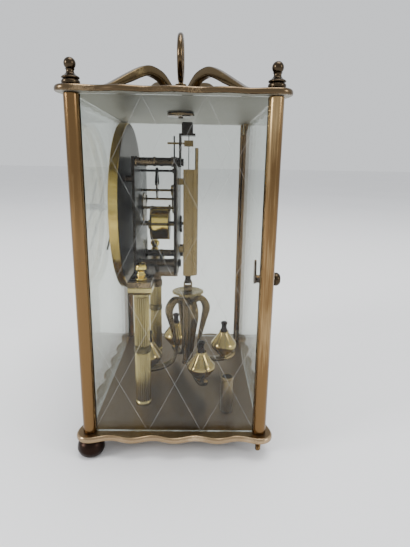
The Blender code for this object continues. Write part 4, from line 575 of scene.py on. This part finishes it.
# Two reeded brass columns stand on the base and carry the platform: a plain foot, reeds broken by a
# collar half way up, and a square capital. A gilt ball nut holds each one through the platform.
def ring_of(name, unit, count, radius, place, material, body, axis="up"):
    """Sets copies of a small shape evenly round an axis, each facing outwards, as one piece."""
    tree = bpy.data.node_groups.new(name, "GeometryNodeTree")
    for label, kind in (("Unit", "NodeSocketObject"), ("Count", "NodeSocketInt"),
                        ("Radius", "NodeSocketFloat"), ("Finish", "NodeSocketMaterial")):
        tree.interface.new_socket(label, in_out="INPUT", socket_type=kind)
    tree.interface.new_socket("Ring", in_out="OUTPUT", socket_type="NodeSocketGeometry")
    entry, leave = tree.nodes.new("NodeGroupInput"), tree.nodes.new("NodeGroupOutput")
    circle = tree.nodes.new("GeometryNodeMeshCircle")
    shape = tree.nodes.new("GeometryNodeObjectInfo")
    index = tree.nodes.new("GeometryNodeInputIndex")
    share, turn = tree.nodes.new("ShaderNodeMath"), tree.nodes.new("ShaderNodeMath")
    share.operation, turn.operation = "DIVIDE", "MULTIPLY"
    turn.inputs[1].default_value = math.tau
    facing = tree.nodes.new("ShaderNodeCombineXYZ")
    place_copies = tree.nodes.new("GeometryNodeInstanceOnPoints")
    realize, paint = tree.nodes.new("GeometryNodeRealizeInstances"), tree.nodes.new("GeometryNodeSetMaterial")
    for start, end in ((entry.outputs["Unit"], shape.inputs["Object"]),
                       (entry.outputs["Count"], circle.inputs["Vertices"]),
                       (entry.outputs["Radius"], circle.inputs["Radius"]),
                       (index.outputs[0], share.inputs[0]), (entry.outputs["Count"], share.inputs[1]),
                       (share.outputs[0], turn.inputs[0]), (turn.outputs[0], facing.inputs["Z"]),
                       (circle.outputs["Mesh"], place_copies.inputs["Points"]),
                       (shape.outputs["Geometry"], place_copies.inputs["Instance"]),
                       (facing.outputs[0], place_copies.inputs["Rotation"]),
                       (place_copies.outputs[0], realize.inputs[0]),
                       (realize.outputs[0], paint.inputs["Geometry"]),
                       (entry.outputs["Finish"], paint.inputs["Material"]),
                       (paint.outputs[0], leave.inputs[0])):
        tree.links.new(start, end)
    unit_mesh = bpy.data.meshes.new(name + "_unit")
    unit_mesh.from_pydata(unit[0], [], unit[1])
    unit_object = bpy.data.objects.new(name + "_unit", unit_mesh)
    maker = bpy.data.objects.new(name + "_maker", bpy.data.meshes.new(name + "_maker"))
    bpy.context.scene.collection.objects.link(unit_object)
    bpy.context.scene.collection.objects.link(maker)
    modifier = maker.modifiers.new("ring", "NODES")
    modifier.node_group = tree
    values = {"Unit": unit_object, "Count": count, "Radius": radius, "Finish": material}
    for item in tree.interface.items_tree:
        if item.in_out == "INPUT":
            modifier[item.identifier] = values[item.name]
    bpy.context.view_layer.update()
    mesh = bpy.data.meshes.new_from_object(maker.evaluated_get(bpy.context.evaluated_depsgraph_get()))
    if axis == "forward":
        mesh.transform(Matrix.Rotation(math.pi / 2, 4, "X"))
    mesh.transform(Matrix.Translation(place))
    work = bmesh.new()
    work.from_mesh(mesh)
    bmesh.ops.recalc_face_normals(work, faces=work.faces)
    work.to_mesh(mesh)
    work.free()
    mesh.shade_smooth()
    mesh.set_sharp_from_angle(angle=math.radians(40))
    bpy.data.objects.remove(maker)
    bpy.data.objects.remove(unit_object)
    piece = bpy.data.objects.new(name, mesh)
    bpy.context.scene.collection.objects.link(piece)
    return settle(piece, body)


column_brass = bronzed("column_brass", (0.42, 0.33, 0.13), (0.80, 0.66, 0.31), 0.14, 0.22, (1, 1, 0.03), 0.1)
gilt = bronzed("polished_gilt", (0.62, 0.45, 0.10), (0.90, 0.70, 0.22), 0.2, 0.1, (1, 1, 1), 0.05)
# A darker brass for the grooves between the reeds: painted shade.
groove_painted_shade_brass = bronzed("groove_painted_shade_brass", (0.10, 0.075, 0.03), (0.30, 0.23, 0.10), 0.06, 0.3, (1, 1, 0.03), 0.1)
column_y = -0.0224 + MIDDLE_Y
shaft_profile = [(0, 0), (0.0051, 0), (0.0052, 0.0003), (0.0052, 0.0019), (0.0049, 0.0024), (0.0044, 0.0030),
                 (0.0044, 0.0366), (0.0050, 0.0369), (0.00535, 0.0373), (0.00535, 0.0403), (0.0050, 0.0409),
                 (0.0044, 0.0413), (0.0044, 0.0735), (0.0049, 0.0741), (0.0052, 0.0746), (0.0052, 0.0772),
                 (0, 0.0772)]
capital_rings = ((0.0053, 0), (0.0056, 0.0006), (0.0063, 0.0012), (0.0069, 0.0016), (0.0072, 0.0019),
                 (0.00725, 0.0021), (0.00725, 0.0046), (0.0070, 0.0049))
nut_shape = eased([(0.0036, 0), (0.0036, 0.0010), (0.0024, 0.0018), (0.0030, 0.0030), (0.0030, 0.0036),
                   (0.0023, 0.0047), (0.0026, 0.0054), (0.0035, 0.0067), (0.00365, 0.0077), (0.0035, 0.0089),
                   (0.0026, 0.0101), (0.0014, 0.0108)], 4)
nut_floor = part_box("column_nut_right")[0].z
shaft_radius, groove_low, groove_high, capital_level = 0.0044, 0.003, 0.0735, 0.0762
stud_shape = [(0, 0), (0.0015, 0), (0.0015, 0.0130), (0, 0.0130)]
reed_count, reed_sides, reed_out, reed_across, reed_taper = 22, 10, 0.0005, 0.00044, 0.0008
for side, x in (("right", 0.042), ("left", -0.042)):
    rings = [[(x + sx * half, column_y + sy * half, case_floor + capital_level + rise)
              for sx, sy in ((-1, -1), (1, -1), (1, 1), (-1, 1))] for half, rise in capital_rings]
    stud = turned(stud_shape, (x, column_y, case_floor + 0.0765), 20)
    make_piece(f"column_shaft_{side}",
               merged([turned(shaft_profile, (x, column_y, case_floor)), loft(rings), stud]),
               column_brass, "clock", [f"column_{side}"])
    shaft = bpy.data.objects[f"column_shaft_{side}"]
    # The shaft's faces from foot to capital, the collar among them, take a darker brass: painted shade in the
    # grooves between the reeds.
    shaft.data.materials.append(groove_painted_shade_brass)
    for face in shaft.data.polygons:
        if case_floor + groove_low < face.center.z < case_floor + groove_high:
            face.material_index = 1
    for part, low, high in (("lower", 0.0026, 0.0368), ("upper", 0.0412, 0.0740)):
        reed_ends = ((0.5, low), (1, low + reed_taper), (1, high - reed_taper), (0.5, high))
        reed = loft([[(reed_out * scale * math.cos(math.tau * turn / reed_sides),
                       reed_across * scale * math.sin(math.tau * turn / reed_sides), level)
                      for turn in range(reed_sides)] for scale, level in reed_ends])
        ring_of(f"column_reeds_{part}_{side}", reed, reed_count, shaft_radius, (x, column_y, case_floor),
                column_brass, "clock")
    make_piece(f"ball_nut_{side}", turned([(0, 0)] + nut_shape + [(0, 0.0110)], (x, column_y, nut_floor)),
               gilt, "clock", [f"column_nut_{side}"])


# The platform is a bronzed T-shaped plate across the columns. The movement stands on it, held from
# below by two thumbscrews with deep turned heads.
platform_edge = nodes["platform"].modifiers.new("eased_edge", "BEVEL")
platform_edge.width, platform_edge.segments, platform_edge.limit_method = 0.0004, 2, "ANGLE"
screw_low, screw_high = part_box("platform_screw_right")[0].z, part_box("platform_screw_right")[1].z
screw_shape = [(0, 0), (0.0020, 0), (0.0031, 0.0005), (0.00335, 0.0011), (0.00335, 0.0044), (0.0031, 0.0049),
               (0.0024, 0.0054), (0.0023, 0.0066), (0.0029, 0.0070), (0.0030, 0.0079), (0.0013, 0.0079),
               (0.0013, screw_high - screw_low), (0, screw_high - screw_low)]
screw_y, ridge_count = -0.016, 32
for side, x in (("right", 0.017), ("left", -0.017)):
    make_piece(f"thumbscrew_{side}", turned(screw_shape, (x, screw_y, screw_low)), bronze, "clock",
               [f"platform_screw_{side}"])
    ridge = loft([[(-0.0002, -0.0001, z), (0.0001, 0, z), (-0.0002, 0.0001, z)] for z in (0.0013, 0.0042)])
    ring_of(f"thumbscrew_ridges_{side}", ridge, ridge_count, 0.0033, (x, screw_y, screw_low), bronze, "clock")


# The movement is two dark plates on turned pillars, with brass wheels on steel arbors between them
# and a bright brass barrel low down. Its plates have gone nearly black with age.
def forward(shape, x, z):
    """Lays an upright shape down so that its own height counts forwards, towards the dial."""
    return [(px + x, MIDDLE_Y - pz, py + z) for px, py, pz in shape[0]], shape[1]


plate_black = bronzed("blackened_plate", (0.018, 0.013, 0.009), (0.14, 0.095, 0.05), -0.05, 0.28)
wheel_brass = bronzed("wheel_brass", (0.16, 0.11, 0.04), (0.50, 0.36, 0.13), 0.0, 0.22)
arbor_steel = bronzed("arbor_steel", (0.028, 0.027, 0.027), (0.20, 0.19, 0.18), 0.0, 0.24)
pillar_shape = turned([(0.00251, 0.0034), (0.0031, 0.0034), (0.0031, 0.0046), (0.00251, 0.0050),
                       (0.00251, 0.0140), (0.0029, 0.0144), (0.0029, 0.0156), (0.00251, 0.0160),
                       (0.00251, 0.0252), (0.0031, 0.0256), (0.0031, 0.0267), (0.00251, 0.0267),
                       (0.00251, 0.0034)], sides=24)
make_piece("pillar_sleeves", merged([forward(pillar_shape, x, z) for x, z in
                                     ((0.017, 0.105), (-0.017, 0.105), (0.025, 0.1706), (-0.025, 0.1706))]),
           bronze, "clock")
band_shape = turned([(0.0117, 0.0087), (0.01182, 0.0088), (0.01182, 0.0098), (0.01176, 0.0100),
                     (0.01176, 0.0190), (0.01182, 0.0192), (0.01182, 0.0202), (0.0117, 0.0203),
                     (0.0117, 0.0087)], sides=72)
make_piece("barrel_band", forward(band_shape, -0.010, 0.1283), gilt, "barrel")
for name in ("front_plate", "back_plate", "click", "winding_arbor", "suspension_bracket"):
    coat(name, plate_black)
for name in ("centre_wheel", "third_wheel", "escape_wheel", "intermediate_wheel", "barrel", "minute_wheel",
             "hour_wheel", "fork"):
    coat(name, wheel_brass)
for name in ("anchor", "mainspring", "suspension_strip"):
    coat(name, arbor_steel)


# The dial is a spun brass pan with a beaded rim, and an off-white face printed with numbers and a
# ring of minutes. Two dark steel hands turn in front of it, held by a small turned nut.
centre_z = 0.1401
rim_brass = bronzed("spun_brass", (0.48, 0.34, 0.09), (0.86, 0.66, 0.21), 0.12, 0.13, (1, 0.05, 1), 0.06)
pan_back = bronzed("pan_back", (0.060, 0.042, 0.030), (0.17, 0.12, 0.085), 0.02, 0.34, (1, 0.05, 1), 0.04)
enamel = Finish("dial_enamel")
age = enamel.ramp(enamel.noise(40, 5), 0.35, 0.8)
specks = enamel.ramp(enamel.noise(800, 2), 0.7, 0.76)
enamel.set(base_color=enamel.mix(specks * 0.6, enamel.mix(age, (0.80, 0.77, 0.68), (0.70, 0.65, 0.53)),
                                 (0.30, 0.25, 0.17)),
           roughness=age * 0.15 + 0.3, normal=enamel.bump(enamel.noise(300, 2), 0.05, 0.0002))
pan_profile = [(0.0025, 0.0331), (0.0500, 0.0331), (0.0530, 0.0331), (0.0541, 0.0333), (0.0546, 0.0336),
               (0.0548, 0.0341), (0.0549, 0.0366), (0.0550, 0.0378), (0.0550, 0.0382), (0.0546, 0.0386),
               (0.0534, 0.0386), (0.0526, 0.0383), (0.0524, 0.0378), (0.0524, 0.0339), (0.0025, 0.0339),
               (0.0025, 0.0331)]
PAN_BACK = 0.0334
post_shape = turned([(0, 0.0289), (0.0019, 0.0289), (0.0020, 0.0292), (0.0020, 0.0333), (0, 0.0333)],
                    sides=24)
make_piece("spun_dial_pan", merged([forward(turned(pan_profile, sides=128), 0, centre_z)]
                                   + [forward(post_shape, x, centre_z + z)
                                      for x, z in ((0.024, 0.020), (-0.024, 0.020), (0, -0.030))]),
           rim_brass, "clock", ["dial_pan"])
pan = bpy.data.objects["spun_dial_pan"]
pan.data.materials.append(pan_back)
for face in pan.data.polygons:
    if face.center.y > MIDDLE_Y - PAN_BACK:
        face.material_index = 1
face_front = 0.0352
face_profile = [(0.0025, 0.0342), (0.0519, 0.0342), (0.0521, 0.0344), (0.0521, 0.0350), (0.0519, face_front),
                (0.0025, face_front), (0.0025, 0.0342)]
make_piece("printed_face", forward(turned(face_profile, sides=128), 0, centre_z), enamel.material, "clock",
           ["dial_face"])
ink = Finish("dial_ink")
ink_wear = ink.ramp(ink.noise(500, 3), 0.4, 0.8)
ink.set(base_color=ink.mix(ink_wear, (0.012, 0.011, 0.010), (0.05, 0.042, 0.035)),
        roughness=ink_wear * 0.2 + 0.35)
for count, length, width, out in ((60, 0.0016, 0.0004, 0.0486), (12, 0.0028, 0.0009, 0.0480)):
    mark = loft([[(-length / 2, -width / 2, level), (length / 2, -width / 2, level),
                  (length / 2, width / 2, level), (-length / 2, width / 2, level)]
                 for level in (face_front, face_front + 0.00006)])
    ring_of(f"minute_marks_{count}", mark, count, out, (0, MIDDLE_Y, centre_z), ink.material, "clock",
            "forward")
number_height, number_reach, ink_depth = 0.0125, 0.0405, 0.00003
for hour in range(1, 13):
    text = bpy.data.curves.new(f"hour_number_{hour}", "FONT")
    text.body = str(hour)
    text.size = number_height
    text.extrude = ink_depth
    text.align_x, text.align_y = "CENTER", "CENTER"
    writing = bpy.data.objects.new(f"hour_writing_{hour}", text)
    bpy.context.scene.collection.objects.link(writing)
    bpy.context.view_layer.update()
    written = writing.evaluated_get(bpy.context.evaluated_depsgraph_get())
    number_mesh = bpy.data.meshes.new_from_object(written)
    bpy.data.objects.remove(writing)
    angle = quarter - math.tau * hour / 12
    number_mesh.transform(Matrix.Translation((number_reach * math.cos(angle), MIDDLE_Y - face_front - 0.00004,
                                              centre_z + number_reach * math.sin(angle)))
                          @ Matrix.Rotation(math.pi / 2, 4, "X"))
    number_mesh.materials.clear()
    number_mesh.materials.append(ink.material)
    number = bpy.data.objects.new(f"hour_number_{hour}", number_mesh)
    bpy.context.scene.collection.objects.link(number)
    settle(number, "clock")
for name in ("hour_hand", "minute_hand"):
    coat(name, arbor_steel)


# Behind the movement a half-round brass guard hides the fine steel strip that the pendulum hangs
# on. It is screwed to the back plate by lugs, and a narrow tongue runs up from it.
wire_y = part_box("suspension_strip")[0].y / 2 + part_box("suspension_strip")[1].y / 2
guard_brass = bronzed("guard_brass", (0.24, 0.17, 0.075), (0.48, 0.36, 0.17), 0.04, 0.27, (1, 1, 0.04), 0.08)
guard_low, guard_top = 0.0930, 0.1660
guard_outer, guard_inner, guard_depth, arc_steps = 0.0050, 0.0043, 0.0060, 36
guard_outline = []
for radius, way in ((guard_outer, 1), (guard_inner, -1)):
    arc = [(radius * math.cos(math.pi * step / arc_steps),
            guard_depth + radius * math.sin(math.pi * step / arc_steps)) for step in range(arc_steps + 1)]
    guard_outline += ([(radius, 0.0010)] + arc + [(-radius, 0.0010)])[::way]
guard_shapes = [loft([[(x, y, z) for x, y in guard_outline] for z in (guard_low, guard_top)])]
for low in (0.110, 0.156):
    for left, right in ((-guard_outer, -guard_inner), (guard_inner, guard_outer)):
        lug = [(left, -0.0019), (right, -0.0019), (right, 0.0015), (left, 0.0015)]
        guard_shapes.append(loft([[(x, y, z) for x, y in lug] for z in (low, low + 0.004)]))
tongue = [(radius * math.cos(turn), guard_depth + radius * math.sin(turn))
          for radius, way in ((guard_outer, 1), (guard_inner, -1))
          for turn in [math.radians(38 + 8 * step) for step in range(14)][::way]]
guard_shapes.append(loft([[(x, y, z) for x, y in tongue] for z in (guard_top - 0.0001, 0.1800)]))
make_piece("half_round_guard", merged(guard_shapes), guard_brass, "clock", ["guard"])


# The pendulum turns to and fro under the movement: a turned hub hangs by a bent hook from the block
# at the strip's end. Four scrolled straps of bronzed brass spread from its collar, bow out, come back
# to the stem and sweep out again along the base to carry four gilt weights like spinning tops.
strap_bronze = bronzed("strap_bronze", (0.15, 0.105, 0.05), (0.50, 0.38, 0.18), 0.03, 0.22)
stem_profile = [(0, 0.0085), (0.0034, 0.0085), (0.0040, 0.0089), (0.0040, 0.0111), (0.0034, 0.0115),
                (0.0034, 0.0548), (0.0042, 0.0555), (0.0050, 0.0558), (0.0052, 0.0563), (0.0052, 0.0597),
                (0.0050, 0.0602), (0.0042, 0.0605), (0.00305, 0.0608), (0.00305, 0.0639), (0.0017, 0.0639),
                (0.0017, 0.0661), (0.00305, 0.0661), (0.00305, 0.0684), (0.0027, 0.0690), (0, 0.0690)]
strap_shares = ((0.12, 0.962, 0.7, 0.8), (0.234, 0.985, 0.76, 0.9), (0.325, 0.935, 0.8, 1),
                (0.372, 0.843, 0.78, 1), (0.325, 0.694, 0.66, 0.72), (0.255, 0.496, 0.5, 0.5),
                (0.235, 0.331, 0.42, 0.4),
                (0.312, 0.198, 0.55, 0.44), (0.519, 0.149, 0.84, 0.52), (0.779, 0.14, 0.9, 0.56),
                (0.935, 0.157, 0.6, 0.5), (1, 0.215, 0.4, 0.4))
strap_reach, strap_height, strap_width, strap_thickness = 0.0385, 0.0605, 0.007, 0.005
strap_path = [(reach * strap_reach, level * strap_height, width * strap_width, thick * strap_thickness)
              for reach, level, width, thick in strap_shares]
pendulum_strap = swept(eased(strap_path, 6), rounded_section(0.22))
strap_turns = [math.radians(20 + 90 * number) for number in range(4)]
hook_outer = [(-0.00315, 0.0687), (0.00315, 0.0687), (0.00315, 0.0717), (0.0024, 0.0736), (0.0009, 0.0761),
              (0, 0.0765), (-0.0009, 0.0761), (-0.0024, 0.0736), (-0.00315, 0.0717)]
hook_inner = [(-0.00205, 0.0701), (0.00205, 0.0701), (0.00205, 0.0715), (0.0014, 0.0731), (0.0004, 0.0748),
              (0, 0.0751), (-0.0004, 0.0748), (-0.0014, 0.0731), (-0.00205, 0.0715)]
hook_points = [(x, y, z) for x in (-0.0007, 0.0007) for line in (hook_outer, hook_inner) for y, z in line]
hook_faces = []
bends = len(hook_outer)
for side in range(bends):
    after = (side + 1) % bends
    hook_faces += [(side, after, bends + after, bends + side),
                   (2 * bends + side, 3 * bends + side, 3 * bends + after, 2 * bends + after),
                   (side, 2 * bends + side, 2 * bends + after, after),
                   (bends + side, bends + after, 3 * bends + after, 3 * bends + side)]
make_piece("pendulum_straps", merged([spun(shape, turn, (0, wire_y, base_high)) for shape, turn in
                                      [(turned(stem_profile), 0), ((hook_points, hook_faces), 0)]
                                      + [(pendulum_strap, turn) for turn in strap_turns]]),
           strap_bronze, "pendulum", ["pendulum_frame"], 40)
disc_profile = [(0.0020, 0.06425), (0.0106, 0.06425), (0.0109, 0.0645), (0.0109, 0.0655), (0.0106, 0.06575),
                (0.0060, 0.06575), (0.0057, 0.0656), (0.0042, 0.0656), (0.0040, 0.06575), (0.0020, 0.06575),
                (0.0020, 0.06425)]
plate_brass = bronzed("regulator_brass", (0.30, 0.24, 0.11), (0.66, 0.54, 0.28), 0.1, 0.24)
make_piece("regulating_plate", turned(disc_profile, (0, wire_y, base_high), 96), plate_brass, "regulator",
           ["regulating_disc"])
knurl = loft([[(-0.0002, -0.00028, z), (0.0003, 0, z), (-0.0002, 0.00028, z)] for z in (0.0644, 0.0656)])
knurl_count, knurl_reach = 96, 0.01088
ring_of("regulating_knurls", knurl, knurl_count, knurl_reach, (0, wire_y, base_high), plate_brass,
        "regulator")

weight_gilt = bronzed("weight_gilt", (0.42, 0.31, 0.12), (0.82, 0.64, 0.25), 0.12, 0.1, (1, 1, 1), 0.05)
weight_profile = [(0, 0.0102), (0.0027, 0.0102), (0.0029, 0.0105), (0.0029, 0.0121), (0.0050, 0.0125)]
weight_profile += [(0.0091, 0.0176), (0.0095, 0.0184), (0.00975, 0.0196), (0.00975, 0.0203), (0.0095, 0.0213),
                   (0.0090, 0.0221), (0.0037, 0.0294), (0.0035, 0.0299), (0.0035, 0.0308)]
cap_profile = [(0, 0.0305), (0.0026, 0.0306), (0.0026, 0.0320), (0.0020, 0.0332), (0.0019, 0.0355),
               (0.0024, 0.0366), (0.0026, 0.0371), (0.0023, 0.0380), (0.0014, 0.0385), (0, 0.0386)]
weight_reach = 0.0295
for number, turn in enumerate(strap_turns, 1):
    spot = (weight_reach * math.cos(turn), wire_y + weight_reach * math.sin(turn), base_high)
    make_piece(f"top_weight_{number}", turned(weight_profile + [(0, 0.0308)], spot, 64), weight_gilt,
               "pendulum", [f"pendulum_weight_{number}"])
    make_piece(f"weight_cap_{number}", turned(cap_profile, spot, 32), brown_brass, "pendulum")


# The door is the back pane. It turns on pins in two folded brass clips at its left edge, and a small
# dark turned knob with a catch inside holds it to the right-hand post.
knob_x, knob_z, door_y = 0.060, 0.106, 0.050 + MIDDLE_Y
knob_profile = [(0, -0.0054), (0.0013, -0.0054), (0.0014, -0.0052), (0.0014, 0.0016), (0.0024, 0.0016)]
knob_profile += eased([(0.0024, 0.0024), (0.0016, 0.0035), (0.0021, 0.0052), (0.0034, 0.0058),
                       (0.00385, 0.0068), (0.0037, 0.0083), (0.0026, 0.0096), (0.0010, 0.0099)], 4)
knob_profile.append((0, 0.0100))
knob_points, knob_faces = turned(knob_profile, sides=40)
make_piece("turned_knob", ([(knob_x + x, door_y + z, knob_z - y) for x, y, z in knob_points], knob_faces),
           finial_brass, "catch", ["door_knob"])


# The platform, the door's two clips, the catch and the block at the strip's end are plain parts. They
# stay as they were cut and take the finish of what they are screwed to.
for name, material in (("platform", bronze), ("door_clip_bottom", stud_brass), ("door_clip_top", stud_brass),
                       ("door_catch", post_brass), ("bottom_block", plate_black)):
    coat(name, material)
